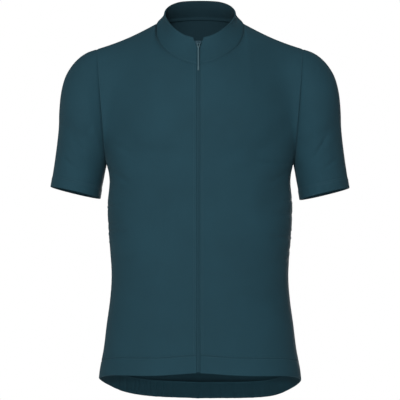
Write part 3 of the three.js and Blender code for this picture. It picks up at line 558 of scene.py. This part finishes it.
def knit_material(name, base, wale=0.9, course=0.7, depth=0.16, variation=0.10, sheen=0.06, roughness=0.82,
                  inner_painted_light_and_shade=0.6):
    """Fine stretch knit: small loops in rows, uneven yarn colour, a soft nap, and marked inner faces painted
    darker (painted shade) or lighter (painted light) by the given factor.
    """
    material, tree, shader = node_material(name)
    link = tree.links.new
    uv = add_node(tree, "ShaderNodeUVMap", uv_map="cloth")
    split = add_node(tree, "ShaderNodeSeparateXYZ")
    link(uv.outputs["UV"], split.inputs["Vector"])
    waves = []
    for axis, period in (("X", wale), ("Y", course)):
        turn = add_node(tree, "ShaderNodeMath", operation="MULTIPLY")
        turn.inputs[1].default_value = 2 * math.pi / (period * MM)
        link(split.outputs[axis], turn.inputs[0])
        wave = add_node(tree, "ShaderNodeMath", operation="SINE")
        link(turn.outputs[0], wave.inputs[0])
        waves.append(wave)
    loops = add_node(tree, "ShaderNodeMath", operation="MULTIPLY")
    link(waves[0].outputs[0], loops.inputs[0])
    link(waves[1].outputs[0], loops.inputs[1])
    place_node = add_node(tree, "ShaderNodeTexCoord")
    broad = add_node(tree, "ShaderNodeTexNoise", Scale=14.0, Detail=3.0)
    link(place_node.outputs["Object"], broad.inputs["Vector"])
    yarn = add_node(tree, "ShaderNodeTexNoise", Scale=900.0, Detail=2.0)
    link(place_node.outputs["Object"], yarn.inputs["Vector"])
    blend = add_node(tree, "ShaderNodeMix", data_type="FLOAT")
    blend.inputs["Factor"].default_value = 0.4
    link(broad.outputs["Fac"], blend.inputs[2])
    link(yarn.outputs["Fac"], blend.inputs[3])
    ramp = add_node(tree, "ShaderNodeValToRGB")
    low, high = ramp.color_ramp.elements
    low.position = 0.3
    high.position = 0.7
    low.color = tuple(c * (1 - variation) for c in base) + (1,)
    high.color = tuple(c * (1 + variation) for c in base) + (1,)
    link(blend.outputs[0], ramp.inputs["Fac"])
    # Painted shade and painted light: the marked inner faces blend toward the base colour scaled by the
    # given factor
    painted_shade_light_mask = add_node(tree, "ShaderNodeAttribute", attribute_name="inner_painted_light_and_shade")
    painted_shade_light_mix = add_node(tree, "ShaderNodeMix", data_type="RGBA")
    link(painted_shade_light_mask.outputs["Fac"], painted_shade_light_mix.inputs["Factor"])
    link(ramp.outputs["Color"], painted_shade_light_mix.inputs[6])
    painted_shade_light_mix.inputs[7].default_value = tuple(c * inner_painted_light_and_shade for c in base) + (1,)
    link(painted_shade_light_mix.outputs[2], shader.inputs["Base Color"])
    crumple = add_node(tree, "ShaderNodeTexNoise", Scale=70.0, Detail=2.0, Roughness=0.45)
    link(place_node.outputs["Object"], crumple.inputs["Vector"])
    soft = add_node(tree, "ShaderNodeBump", Strength=0.25, Distance=0.0009)
    link(crumple.outputs["Fac"], soft.inputs["Height"])
    fine = add_node(tree, "ShaderNodeBump", Strength=0.5, Distance=depth * MM)
    link(loops.outputs[0], fine.inputs["Height"])
    link(soft.outputs["Normal"], fine.inputs["Normal"])
    link(fine.outputs["Normal"], shader.inputs["Normal"])
    shader.inputs["Roughness"].default_value = roughness
    shader.inputs["Specular IOR Level"].default_value = 0.25
    shader.inputs["Sheen Weight"].default_value = sheen
    shader.inputs["Sheen Roughness"].default_value = 0.45
    shader.inputs["Sheen Tint"].default_value = (0.45, 0.75, 0.85, 1)
    return material


def thread_material(name, base):
    """Twisted polyester thread with a slight gloss."""
    material, tree, shader = node_material(name)
    place_node = add_node(tree, "ShaderNodeTexCoord")
    noise = add_node(tree, "ShaderNodeTexNoise", Scale=1500.0, Detail=2.0)
    tree.links.new(place_node.outputs["Object"], noise.inputs["Vector"])
    ramp = add_node(tree, "ShaderNodeValToRGB")
    ramp.color_ramp.elements[0].color = tuple(c * 0.8 for c in base) + (1,)
    ramp.color_ramp.elements[1].color = tuple(c * 1.2 for c in base) + (1,)
    tree.links.new(noise.outputs["Fac"], ramp.inputs["Fac"])
    tree.links.new(ramp.outputs["Color"], shader.inputs["Base Color"])
    bump = add_node(tree, "ShaderNodeBump", Strength=0.3, Distance=0.0001)
    tree.links.new(noise.outputs["Fac"], bump.inputs["Height"])
    tree.links.new(bump.outputs["Normal"], shader.inputs["Normal"])
    shader.inputs["Roughness"].default_value = 0.55
    return material


def hard_material(name, base, metallic, roughness):
    """Painted or moulded small part, with a little wear in its gloss."""
    material, tree, shader = node_material(name)
    place_node = add_node(tree, "ShaderNodeTexCoord")
    noise = add_node(tree, "ShaderNodeTexNoise", Scale=400.0, Detail=3.0)
    tree.links.new(place_node.outputs["Object"], noise.inputs["Vector"])
    ramp = add_node(tree, "ShaderNodeValToRGB")
    ramp.color_ramp.elements[0].color = tuple(c * 0.88 for c in base) + (1,)
    ramp.color_ramp.elements[1].color = tuple(c * 1.1 for c in base) + (1,)
    tree.links.new(noise.outputs["Fac"], ramp.inputs["Fac"])
    tree.links.new(ramp.outputs["Color"], shader.inputs["Base Color"])
    rough = add_node(tree, "ShaderNodeMapRange")
    rough.inputs["To Min"].default_value = roughness - 0.08
    rough.inputs["To Max"].default_value = roughness + 0.08
    tree.links.new(noise.outputs["Fac"], rough.inputs["Value"])
    tree.links.new(rough.outputs["Result"], shader.inputs["Roughness"])
    shader.inputs["Metallic"].default_value = metallic
    shader.inputs["Specular IOR Level"].default_value = 0.2
    return material


PETROL = (0.0130, 0.056, 0.079)
LOOK = {
    # The knit's and collar's default factor darkens their inner faces near the neck: painted shade
    "knit": knit_material("fine_knit", PETROL),
    "collar": knit_material("collar_knit", PETROL, wale=0.8, course=0.6),
    # The band's factor above one lightens its inner face at the tail: painted light
    "band": knit_material("elastic_band", (0.0155, 0.061, 0.085), wale=1.6, course=0.8, depth=0.3,
                          inner_painted_light_and_shade=1.4),
    "thread": thread_material("sewing_thread", (0.021, 0.075, 0.102)),
    "coil": hard_material("zip_coil", (0.0125, 0.050, 0.070), 0.0, 0.75),
    "metal": hard_material("painted_slider", (0.011, 0.042, 0.060), 0.2, 0.5),
    "tab": thread_material("pull_cord", (0.030, 0.090, 0.115)),
}


def dress(piece, look, body="jersey"):
    piece.data.materials.clear()
    piece.data.materials.append(LOOK[look])
    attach(piece, body)
    return piece


# Sewing
THREAD = 0.28
STITCH_SIDES = 5
STITCH_SWELL = (0.35, 1.0, 1.0, 0.35)
STITCH_SINK = 0.05


def stitch_row(name, line, normals, length=2.4, pitch=3.2, radius=THREAD, rise=0.2):
    """Short raised stitches along a line on the cloth, joined into one mesh."""
    gaps = np.linalg.norm(np.diff(line, axis=0), axis=1)
    run = np.concatenate([[0], np.cumsum(gaps)])
    starts = np.arange(pitch / 2, run[-1] - length, pitch)
    swell = np.array(STITCH_SWELL)
    rings = len(swell)
    stations = np.linspace(0, 1, rings)
    sides = STITCH_SIDES
    turn = np.arange(sides) * 2 * np.pi / sides
    vertices = []
    faces = []
    for start in starts:
        where = start + stations * length
        middle = np.stack([np.interp(where, run, line[:, k]) for k in range(3)], axis=-1)
        out = unit(np.stack([np.interp(where, run, normals[:, k]) for k in range(3)], axis=-1))
        way = unit(np.gradient(middle, axis=0))
        side = unit(np.cross(way, out))
        arch = (rise * np.sin(np.pi * stations) - STITCH_SINK)[:, None]
        middle = middle + out * arch
        base = len(vertices) * sides * rings
        ring = (middle[:, None, :]
                + side[:, None, :] * (np.cos(turn)[None, :, None] * (radius * swell)[:, None, None])
                + out[:, None, :] * (np.sin(turn)[None, :, None] * (radius * swell)[:, None, None]))
        vertices.append(ring.reshape(-1, 3))
        for r in range(rings - 1):
            for s in range(sides):
                n = (s + 1) % sides
                faces.append((base + r * sides + s, base + r * sides + n,
                              base + (r + 1) * sides + n, base + (r + 1) * sides + s))
        faces.append(tuple(base + s for s in reversed(range(sides))))
        faces.append(tuple(base + (rings - 1) * sides + s for s in range(sides)))
    mesh = bpy.data.meshes.new(name)
    mesh.from_pydata((np.concatenate(vertices) * MM).tolist(), [], faces)
    mesh.polygons.foreach_set("use_smooth", np.ones(len(mesh.polygons), dtype=bool))
    return place(name, mesh)


def join(name, pieces):
    bpy.ops.object.select_all(action="DESELECT")
    for piece in pieces:
        piece.select_set(True)
    bpy.context.view_layer.objects.active = pieces[0]
    bpy.ops.object.join()
    pieces[0].name = name
    return pieces[0]


STITCHES = []


def sew(line, normals, **options):
    STITCHES.append(stitch_row(f"row_{len(STITCHES)}", line, normals, **options))


def seam_roll(distance, depth=0.75, reach=1.9):
    """Cloth rolls into its seam."""
    return -depth * np.exp(-((distance / reach) ** 2))


def seam_pucker(distance, run, lift=0.18, period=11.0, reach=7.0, phase=0.0):
    """The small uneven waves that a row of sewing pulls into the cloth beside it."""
    wave = np.sin(2 * np.pi * run / period + phase + 1.3 * np.sin(run / 37.0))
    uneven = 0.6 + 0.4 * np.sin(run / 53.0 + phase)
    return lift * uneven * wave * np.exp(-((distance / reach) ** 2))


# The panels: grid sizes, usual lengths of their runs, fades and stitch lines
FRONT_RUN = 190.0
LOWER_RUN = 340.0
YOKE_RUN = 210.0
BAND_ROWS = 14
FOLD_FADE = 26.0
CREASE_FADE = 5.0
SEAM_STITCH = 2.0
BAND_STITCH = 1.6
ZIP_STITCHES = (1.7, 4.8)
FRONT_COLUMNS = 84
BACK_COLUMNS = 150
YOKE_ROWS = 84
LOWER_ROWS = 130


def panel_grid(side, u, hand):
    """Outer points of a panel from the band seam to the neck and shoulder seams."""
    angle = column_angle(side, np.abs(u))
    low_shares = steps(LOWER_ROWS, LOWER_RUN, fine_end=False)
    bottom = band_seam(angle, hand)
    z = mix(bottom[None, :], ARMPIT_Z, low_shares[:, None])
    lower = torso_point(np.broadcast_to(angle, z.shape), z)
    v = steps(YOKE_ROWS, YOKE_RUN, fine_start=False)[1:]
    grid_u, grid_v = np.meshgrid(np.abs(u), v)
    upper = yoke_point(side, grid_u, grid_v)
    return np.concatenate([lower, upper])


def inset(points, edges, step=SEAM_GAP / 2):
    """Moves the sewn edges of a grid inward along the cloth, or outward by a negative step."""
    if "bottom" in edges:
        points[0] += unit(points[1] - points[0]) * step
    if "top" in edges:
        points[-1] += unit(points[-2] - points[-1]) * step
    if "start" in edges:
        points[:, 0] += unit(points[:, 1] - points[:, 0]) * step
    if "end" in edges:
        points[:, -1] += unit(points[:, -2] - points[:, -1]) * step
    return points


def band_seam(angle, hand):
    return hem_z(angle, hand) + HEM_BAND


def front_panel(hand):
    side_name = "left" if hand > 0 else "right"
    u = steps(FRONT_COLUMNS, FRONT_RUN)
    points = panel_grid(-1, u, hand)
    points = shifted(mirrored(points, hand), u[None, :])
    inset(points, ("bottom", "end"))
    inset(points, ("top",), -SEAM_LAP / 2)
    cloth = Cloth(points)
    sewn = cloth.edge_distance("bottom", "top", "end")
    fade = smooth(sewn / FOLD_FADE)
    lift = -fold_sink(FRONT_FOLDS, points, hand) * fade
    lift -= fold_sink(FRONT_CREASES, points, hand) * smooth(sewn / CREASE_FADE)
    lift += seam_roll(sewn)
    lift += seam_pucker(cloth.edge_distance("end"), cloth.along, phase=hand)
    lift += seam_pucker(cloth.edge_distance("bottom"), cloth.across, lift=0.12, phase=2.0)
    lift += seam_roll(cloth.edge_distance("start"), depth=0.3, reach=0.8)
    piece = cloth.wall(f"front_{side_name}_cloth", lift, CLOTH)
    sharpen_rims(piece)
    dress(piece, "knit")
    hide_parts(f"front_{side_name}")
    outer = cloth.outer(lift)
    for distance in ZIP_STITCHES:
        sew_beside(outer, cloth, "start", distance)
    sew_beside(outer, cloth, "end", SEAM_STITCH)
    sew_beside(outer, cloth, "bottom", BAND_STITCH)
    return cloth, piece


def at_distance(run, values, distance):
    """The value at a distance along one row of points."""
    return [np.interp(distance, run, values[:, k]) for k in range(3)]


def sew_beside(outer, cloth, edge, distance, **options):
    """A row of stitches at a distance from one edge of a panel."""
    run = cloth.across
    places = outer
    normals = cloth.normals
    if edge in ("bottom", "top"):
        run = cloth.along.T
        places = places.transpose(1, 0, 2)
        normals = normals.transpose(1, 0, 2)
    if edge in ("end", "top"):
        run = (run[:, -1:] - run)[:, ::-1]
        places = places[:, ::-1]
        normals = normals[:, ::-1]
    line = [at_distance(r, place_row, distance) for r, place_row in zip(run, places)]
    out = [at_distance(r, normal_row, distance) for r, normal_row in zip(run, normals)]
    sew(np.array(line), unit(np.array(out)), **options)


def side_gather(points, distance, hand_phase):
    """Small gathers down the side seam that fade away from it."""
    span = SIDE_GATHERS["top"] - SIDE_GATHERS["bottom"]
    t = np.clip((SIDE_GATHERS["top"] - points[..., 2]) / span, 0, 1)
    wave = np.sin(2 * np.pi * (SIDE_GATHERS["count"] * t + hand_phase + 0.25 * np.sin(7 * t)))
    uneven = 0.65 + 0.35 * np.sin(11 * t + hand_phase)
    return (SIDE_GATHERS["lift"] * uneven * wave * np.sin(np.pi * t) ** 0.5
            * np.exp(-((distance / SIDE_GATHERS["reach"]) ** 2)))


def back_panel():
    half = steps(BACK_COLUMNS // 2, FRONT_RUN, fine_start=False)
    u = np.concatenate([-half[::-1], half[1:]])
    points = panel_grid(1, u, np.sign(u))
    points[..., 0] *= np.sign(u)[None, :]
    inset(points, ("bottom",))
    inset(points, ("top", "start", "end"), -SEAM_LAP)
    cloth = Cloth(points)
    sewn = cloth.edge_distance("bottom", "top", "start", "end")
    fade = smooth(sewn / FOLD_FADE)
    lift = -fold_sink(BACK_FOLDS, points, 1) * fade
    both = [fold_sink(BACK_CREASES, points, hand) for hand in (-1, 1)]
    lift -= np.where(points[..., 0] < 0, both[0], both[1]) * smooth(sewn / CREASE_FADE)
    lift += seam_roll(sewn)
    seam_away = cloth.edge_distance("start", "end")
    phase = np.where(u < 0, 0.1, 0.6)[None, :]
    lift += np.where(points[..., 2] < ARMPIT_Z, side_gather(points, seam_away, phase), 0)
    piece = cloth.wall("back_cloth", lift, CLOTH)
    sharpen_rims(piece)
    dress(piece, "knit")
    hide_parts("back")
    outer = cloth.outer(lift)
    sew_beside(outer, cloth, "start", SEAM_STITCH)
    sew_beside(outer, cloth, "end", SEAM_STITCH)
    sew_beside(outer, cloth, "bottom", BAND_STITCH)
    sew_beside(outer, cloth, "top", SEAM_STITCH)
    return cloth, piece


def band_grid(side, u, hand, count):
    angle = column_angle(side, np.abs(u))
    share = steps(count, HEM_BAND)
    z = mix(hem_z(angle, hand)[None, :], band_seam(angle, hand)[None, :], share[:, None])
    points = torso_point(np.broadcast_to(angle, z.shape), z)
    return points, share


def front_band(hand):
    side_name = "left" if hand > 0 else "right"
    u = steps(FRONT_COLUMNS, FRONT_RUN)
    points, _ = band_grid(-1, u, hand, BAND_ROWS)
    points = shifted(mirrored(points, hand), u[None, :])
    inset(points, ("top", "end"))
    cloth = Cloth(points)
    lift = seam_roll(cloth.edge_distance("top", "end"))
    lift += seam_roll(cloth.edge_distance("bottom"), depth=0.4, reach=0.7)
    lift += seam_pucker(cloth.edge_distance("top"), cloth.across, lift=0.15, reach=9.0, phase=1.0)
    piece = cloth.wall(f"front_hem_band_{side_name}_cloth", lift, DOUBLE_CLOTH)
    sharpen_rims(piece)
    dress(piece, "knit")
    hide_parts(f"front_hem_band_{side_name}")
    outer = cloth.outer(lift)
    sew_beside(outer, cloth, "top", BAND_STITCH)
    return cloth, piece


def tail_band():
    half = steps(BACK_COLUMNS, FRONT_RUN, fine_start=False)
    u = np.concatenate([-half[::-1], half[1:]])
    points, share = band_grid(1, u, np.sign(u), BAND_ROWS)
    points[..., 0] *= np.sign(u)[None, :]
    inset(points, ("start", "end", "top"), -SEAM_LAP)
    cloth = Cloth(points)
    turn = (u * 90)[None, :]
    inside_angle = TAIL_GATHERS["half_angle"] - np.abs(turn)
    reach = np.clip(inside_angle / TAIL_GATHERS["fade_angle"], 0, 1)
    wave = np.sin(np.pi * TAIL_GATHERS["count"] * turn / TAIL_GATHERS["half_angle"])
    lift = TAIL_GATHERS["lift"] * reach * (1 - share[:, None]) * wave
    below_seam = (1 - share[:, None]) ** 0.5
    for x, width, sink in zip(TAIL_TUCKS["x"], TAIL_TUCKS["width"], TAIL_TUCKS["sink"]):
        away = (points[..., 0] - x) / width
        lift = lift - sink * below_seam * np.exp(-(away ** 2))
    lift = lift + seam_roll(cloth.edge_distance("top", "start", "end"))
    piece = cloth.wall("tail_band_cloth", lift, DOUBLE_CLOTH)
    sharpen_rims(piece)
    dress(piece, "band")
    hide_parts("tail_band")
    sew_beside(cloth.outer(lift), cloth, "top", BAND_STITCH)
    return cloth, piece


# Sleeves
SLEEVE_RINGS = 110
SLEEVE_TURNS = 66
SLEEVE_RUN = 240.0
SLEEVE_MIDDLE_X = 205.0
SLEEVE_FADE = 24.0
CUFF_STEP = 1.6
CUFF_GROOVE = 0.9
CUFF_GROOVE_HALF = 1.2
CUFF_STITCHES = (CUFF_HEM - 1.2, CUFF_HEM - 4.4)


def sleeve(hand):
    side_name = "left" if hand > 0 else "right"
    count = len(SLEEVE["depth"])
    table = dict(SLEEVE, row=np.arange(count, dtype=float))
    top_lengths = np.hypot(np.diff(SLEEVE["outer_x"]), np.diff(SLEEVE["outer_z"]))
    run = np.concatenate([[0], np.cumsum(top_lengths)])
    shares = steps(SLEEVE_RINGS, run[-1])
    place_in_table = np.interp(shares * run[-1], run, np.arange(count))
    section = {k: read(table, "row", place_in_table, k)[:, None] for k in SLEEVE}
    v = steps(SLEEVE_TURNS, SLEEVE_RUN, fine_start=False, fine_end=False)
    front = section_point(section, armhole_angle(v)[None, :], -1)
    back = section_point(section, armhole_angle(v[-2:0:-1])[None, :], 1)
    points = np.concatenate([front, back], axis=1)
    points[0, :, 0] -= SEAM_LAP
    if hand > 0:
        points[..., 2] -= LEFT_SLEEVE_DROP * section["lean"]
    mirrored(points, hand)
    cloth = Cloth(points, closed=True, outward=(hand * SLEEVE_MIDDLE_X, 0))
    from_armhole = cloth.edge_distance("bottom")
    from_cuff = cloth.edge_distance("top")
    fade = smooth(from_armhole / SLEEVE_FADE) * smooth((from_cuff - CUFF_HEM) / SLEEVE_FADE)
    lift = -fold_sink(SLEEVE_FOLDS, points, hand) * fade
    lift -= fold_sink(SLEEVE_CREASES, points, hand) * fade
    lift += seam_roll(from_armhole, depth=0.9, reach=2.0)
    lift += seam_pucker(from_armhole, cloth.across, lift=0.22, phase=hand)
    lift += CUFF_RAISE * smooth((CUFF_HEM - from_cuff) / CUFF_STEP + 0.5)
    from_groove = (from_cuff - CUFF_HEM) / CUFF_GROOVE_HALF + 1
    lift -= CUFF_GROOVE * np.exp(-(from_groove ** 2))
    lift += seam_roll(from_cuff, depth=0.35, reach=0.7)
    piece = cloth.wall(f"sleeve_{side_name}_cloth", lift, CLOTH)
    sharpen_rims(piece)
    dress(piece, "knit")
    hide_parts(f"sleeve_{side_name}")
    outer = cloth.outer(lift)
    wrapped = np.concatenate([outer, outer[:, :1]], axis=1)
    normals = np.concatenate([cloth.normals, cloth.normals[:, :1]], axis=1)
    runs = np.concatenate([from_cuff, from_cuff[:, :1]], axis=1)
    for distance in CUFF_STITCHES:
        line, out = ring_line(wrapped, normals, runs, distance)
        sew(line, out)
    return cloth, piece


def ring_line(outer, normals, run, distance):
    """The points round a tube at a distance from its cuff."""
    line = []
    out = []
    for c in range(outer.shape[1]):
        column = run[::-1, c]
        line.append([np.interp(distance, column, outer[::-1, c, k]) for k in range(3)])
        out.append([np.interp(distance, column, normals[::-1, c, k]) for k in range(3)])
    return np.array(line), unit(np.array(out))


# The collar
COLLAR_LIFT = 0.4


def collar_points(turn, share):
    """turn from 0 at the zip to 1 at the middle of the back, share from the seam to the top."""
    base = np.where(
        (turn <= 0.5)[:, None],
        neck_point(-1, np.clip(turn / 0.5, 0, 1)),
        neck_point(1, np.clip((1 - turn) / 0.5, 0, 1)),
    )
    base[:, 2] += COLLAR_LIFT
    top = curve_point(COLLAR_TOP, turn)
    points = mix(base[None], top[None], share[..., None])
    out = points.copy()
    out[..., 2] = 0
    hollow = mix(COLLAR_HOLLOW["middle"], COLLAR_HOLLOW["side"], np.sin(np.pi * turn))
    return points - unit(out) * (hollow * np.sin(np.pi * share))[..., None]


COLLAR_HALF = 230.0
# How far the collar's foot goes into the neck seam
COLLAR_TUCK = 2.6
COLLAR_SINK = 1.7
COLLAR_COLUMNS = 110
COLLAR_ROWS = 22
COLLAR_RUN = 48.0
COLLAR_EDGE = {"lift": 0.5, "below_top": 1.2, "reach": 1.2}
COLLAR_STITCHES = {"above_seam": 2.2, "below_top": 3.4}


def collar():
    half = steps(COLLAR_COLUMNS, COLLAR_HALF, fine_start=True, fine_end=False)
    step_at = (NOTCH["reach"] + NOTCH["turn"] * np.linspace(-0.6, 0.6, 7)) / COLLAR_HALF
    half = np.unique(np.concatenate([half, step_at]))
    turn = np.concatenate([half, half[:-1][::-1]])
    hand = np.concatenate([np.full(len(half), -1.0), np.full(len(half) - 1, 1.0)])
    share_rows = steps(COLLAR_ROWS, COLLAR_RUN)
    past = smooth((turn * COLLAR_HALF - NOTCH["reach"]) / NOTCH["turn"] + 0.5)
    share = share_rows[:, None] * (1 - NOTCH["share"] * (1 - past))[None, :]
    points = collar_points(turn, share)
    points[..., 0] *= hand[None, :]
    shifted(points, np.clip(turn / 0.5, 0, 1)[None, :] * NECK_SHARE_FRONT)
    inset(points, ("bottom",), -COLLAR_TUCK)
    cloth = Cloth(points)
    top_away = cloth.edge_distance("top")
    foot = cloth.edge_distance("bottom")
    lift = seam_roll(foot - COLLAR_TUCK, depth=1.0, reach=1.7)
    lift -= COLLAR_SINK * smooth((COLLAR_TUCK - foot) / COLLAR_TUCK)
    from_edge = (top_away - COLLAR_EDGE["below_top"]) / COLLAR_EDGE["reach"]
    lift += COLLAR_EDGE["lift"] * np.exp(-(from_edge ** 2))
    lift += seam_roll(top_away, depth=0.5, reach=0.5)
    lift += seam_pucker(cloth.edge_distance("bottom"), cloth.across, lift=0.15)
    piece = cloth.wall("collar_cloth", lift, DOUBLE_CLOTH)
    sharpen_rims(piece)
    dress(piece, "collar")
    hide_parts("collar")
    outer = cloth.outer(lift)
    sew_beside(outer, cloth, "bottom", COLLAR_TUCK + COLLAR_STITCHES["above_seam"])
    sew_beside(outer, cloth, "top", COLLAR_STITCHES["below_top"])
    return cloth, piece


# The rear pockets: grid sizes, gathers under the mouth, and the columns with seams and bar-tacks
POCKET_COLUMNS = 151
POCKET_ROWS = 80
POCKET_RUN = 190.0
POCKET_GATHERS = {"count": 40, "lift": 0.35, "reach": 16.0}
POCKET_GAP = 0.3
POCKET_MOUTH_STEP = 1.6
POCKET_STITCH = 1.8
POCKET_MOUTH_STITCH = POCKET["mouth"] - 1.0
POCKET_SEAMS = (50, 100)
BAR_TACKS = (2, 50, 100, 148)
BAR_TACK_ROWS = range(-10, -1, 2)


def pocket_panel():
    turn = np.linspace(-POCKET["half_angle"], POCKET["half_angle"], POCKET_COLUMNS)
    angle = 180 - np.abs(turn)
    share = steps(POCKET_ROWS, POCKET_RUN, fine_start=True, fine_end=True)
    top = POCKET["top"] + POCKET["mouth"]
    z = mix(band_seam(angle, np.sign(turn))[None, :] + POCKET_GAP, top, share[:, None])
    points = torso_point(np.broadcast_to(angle, z.shape), z)
    points[..., 0] *= np.sign(turn)[None, :]
    base = Cloth(points)
    third = np.abs(np.sin(np.pi * 3 * (turn / POCKET["half_angle"] + 1) / 2))[None, :]
    height = np.sin(np.pi * np.clip(share, 0, 1))[:, None]
    from_top = base.edge_distance("top")
    lift = CLOTH + POCKET_GAP + POCKET["belly"] * third ** 0.7 * height
    mouth = smooth((POCKET["mouth"] - from_top) / POCKET_MOUTH_STEP + 0.5)
    lift = lift + POCKET["mouth_raise"] * mouth
    gather = np.sin(np.pi * POCKET_GATHERS["count"] * turn / POCKET["half_angle"])[None, :]
    fade = np.exp(-((from_top / POCKET_GATHERS["reach"]) ** 2))
    lift = lift + POCKET_GATHERS["lift"] * gather * fade * third
    shell = Cloth(base.outer(lift))
    edges = shell.edge_distance("top", "start", "end", "bottom")
    roll = seam_roll(edges, depth=0.4, reach=0.9)
    piece = shell.wall("rear_pockets_cloth", roll, CLOTH)
    sharpen_rims(piece)
    dress(piece, "knit")
    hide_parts("rear_pockets")
    outer = shell.outer(roll)
    for edge in ("start", "end"):
        sew_beside(outer, shell, edge, POCKET_STITCH)
    sew_beside(outer, shell, "top", POCKET_MOUTH_STITCH)
    for seam in POCKET_SEAMS:
        sew(outer[:, seam], shell.normals[:, seam])
    for middle in BAR_TACKS:
        spot = slice(middle - 2, middle + 3)
        for row in BAR_TACK_ROWS:
            sew(outer[row, spot], shell.normals[row, spot], length=2.4, pitch=3.0)
    return shell, piece


# The zip: how many points its line has on each stretch, and how far it ends below the collar's top
ZIP_POINTS = {"lower": 180, "yoke": 90, "collar": 22}
ZIP_END_SHARE = 0.02


def zip_line():
    angle = np.array([FRONT_START])
    bottom = hem_z(angle, -1)[0] + 1
    z = np.linspace(bottom, ARMPIT_Z, ZIP_POINTS["lower"])
    lower = torso_point(np.full(z.shape, angle[0]), z)
    v = np.linspace(0, 1, ZIP_POINTS["yoke"])[1:]
    upper = yoke_point(-1, np.zeros(v.shape), v)
    share = np.linspace(0, 1, ZIP_POINTS["collar"])[1:] * (1 - NOTCH["share"] - ZIP_END_SHARE)
    stand = collar_points(np.zeros(1), share[:, None])[:, 0]
    line = np.concatenate([lower, upper, stand])
    line[:, 0] = ZIP_SHIFT
    return line


# Half of the strip's section, from its middle line outward
ZIP_SECTION = rows(
    "offset dip",
    (0.0, 0.9),
    (0.3, 0.25),
    (0.8, 0.0),
    (1.6, 0.0),
    (2.6, 0.15),
    (3.45, 0.8),
)
ZIP_RIBS = {"lift": 0.12, "pitch": 1.3, "half_width": 1.0}
ZIP_THICKNESS = 1.6


def zip_tapes(line):
    """Two halves of the zip that meet in a fine line, smooth on top and rolled at the middle."""
    offsets = np.concatenate([-ZIP_SECTION["offset"][:0:-1], ZIP_SECTION["offset"]])
    dips = np.concatenate([ZIP_SECTION["dip"][:0:-1], ZIP_SECTION["dip"]])
    points = line[:, None, :] + np.stack([offsets, 0 * offsets, 0 * offsets], axis=-1)[None]
    cloth = Cloth(points)
    lift = np.broadcast_to(-dips[None, :], points.shape[:2]).copy()
    run = cloth.along
    ribbed = (np.abs(offsets) < ZIP_RIBS["half_width"])[None, :]
    lift += ZIP_RIBS["lift"] * np.sin(2 * np.pi * run / ZIP_RIBS["pitch"]) * ribbed
    piece = cloth.wall("zip_tape", lift, ZIP_THICKNESS)
    dress(piece, "coil")
    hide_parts("zip")
    return cloth, piece


fronts = [front_panel(hand) for hand in (-1, 1)]
back = back_panel()
bands = [front_band(hand) for hand in (-1, 1)]
tail = tail_band()
sleeves = [sleeve(hand) for hand in (-1, 1)]
stand_collar = collar()
pockets = pocket_panel()
zip_tapes(zip_line())

stitching = join("stitching", STITCHES)
dress(stitching, "thread")

for node, look in (("zip_slider", "metal"), ("zip_pull", "tab")):
    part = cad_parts[node]
    part.data.materials.clear()
    part.data.materials.append(LOOK[look])


# Floor, light and tone, in metres
FLOOR_HALF = 3.0
FLOOR_LEVEL = -1.3
AMBIENT = 0.11


def make_floor():
    mesh = bpy.data.meshes.new("floor")
    size = FLOOR_HALF
    level = FLOOR_LEVEL
    corners = [(-size, -size, level), (size, -size, level), (size, size, level), (-size, size, level)]
    mesh.from_pydata(corners, [], [(0, 1, 2, 3)])
    floor = place("floor", mesh)
    material, tree, shader = node_material("pale_floor")
    noise = add_node(tree, "ShaderNodeTexNoise", Scale=3.0, Detail=2.0)
    ramp = add_node(tree, "ShaderNodeValToRGB")
    ramp.color_ramp.elements[0].color = (0.80, 0.80, 0.80, 1)
    ramp.color_ramp.elements[1].color = (0.84, 0.84, 0.84, 1)
    tree.links.new(noise.outputs["Fac"], ramp.inputs["Fac"])
    tree.links.new(ramp.outputs["Color"], shader.inputs["Base Color"])
    shader.inputs["Roughness"].default_value = 0.9
    mesh.materials.append(material)


def make_light(name, place_at, aim_z, size, energy):
    data = bpy.data.lights.new(name, "AREA")
    data.shape = "DISK"
    data.size = size
    data.energy = energy
    light = bpy.data.objects.new(name, data)
    light.location = place_at
    way = np.array((0, 0, aim_z)) - np.array(place_at)
    yaw = math.atan2(way[0], -way[1])
    pitch = math.acos(-way[2] / np.linalg.norm(way))
    light.rotation_euler = (pitch, 0, yaw + math.pi)
    bpy.context.collection.objects.link(light)


def make_world():
    world = bpy.data.worlds.new("studio")
    bpy.context.scene.world = world
    world.use_nodes = True
    tree = world.node_tree
    background = tree.nodes["Background"]
    background.inputs["Color"].default_value = (1, 1, 1, 1)
    background.inputs["Strength"].default_value = AMBIENT
    seen = add_node(tree, "ShaderNodeBackground")
    seen.inputs["Color"].default_value = (1, 1, 1, 1)
    seen.inputs["Strength"].default_value = 1.0
    path = add_node(tree, "ShaderNodeLightPath")
    choose = add_node(tree, "ShaderNodeMixShader")
    tree.links.new(path.outputs["Is Camera Ray"], choose.inputs["Fac"])
    tree.links.new(background.outputs[0], choose.inputs[1])
    tree.links.new(seen.outputs[0], choose.inputs[2])
    tree.links.new(choose.outputs[0], tree.nodes["World Output"].inputs["Surface"])


# Each light's place, the height it aims at, its size in metres and its power in watts
LIGHTS = (
    {"name": "key", "place_at": (-0.6, -3.2, 1.2), "aim_z": -0.25, "size": 1.1, "energy": 85},
    {"name": "fill", "place_at": (0.3, -3.4, -0.4), "aim_z": -0.35, "size": 1.6, "energy": 10},
    {"name": "back_fill", "place_at": (0.9, 3.3, -0.1), "aim_z": -0.3, "size": 1.6, "energy": 62},
)

make_floor()
for lamp in LIGHTS:
    make_light(**lamp)
make_world()
bpy.context.scene.view_settings.view_transform = "Standard"
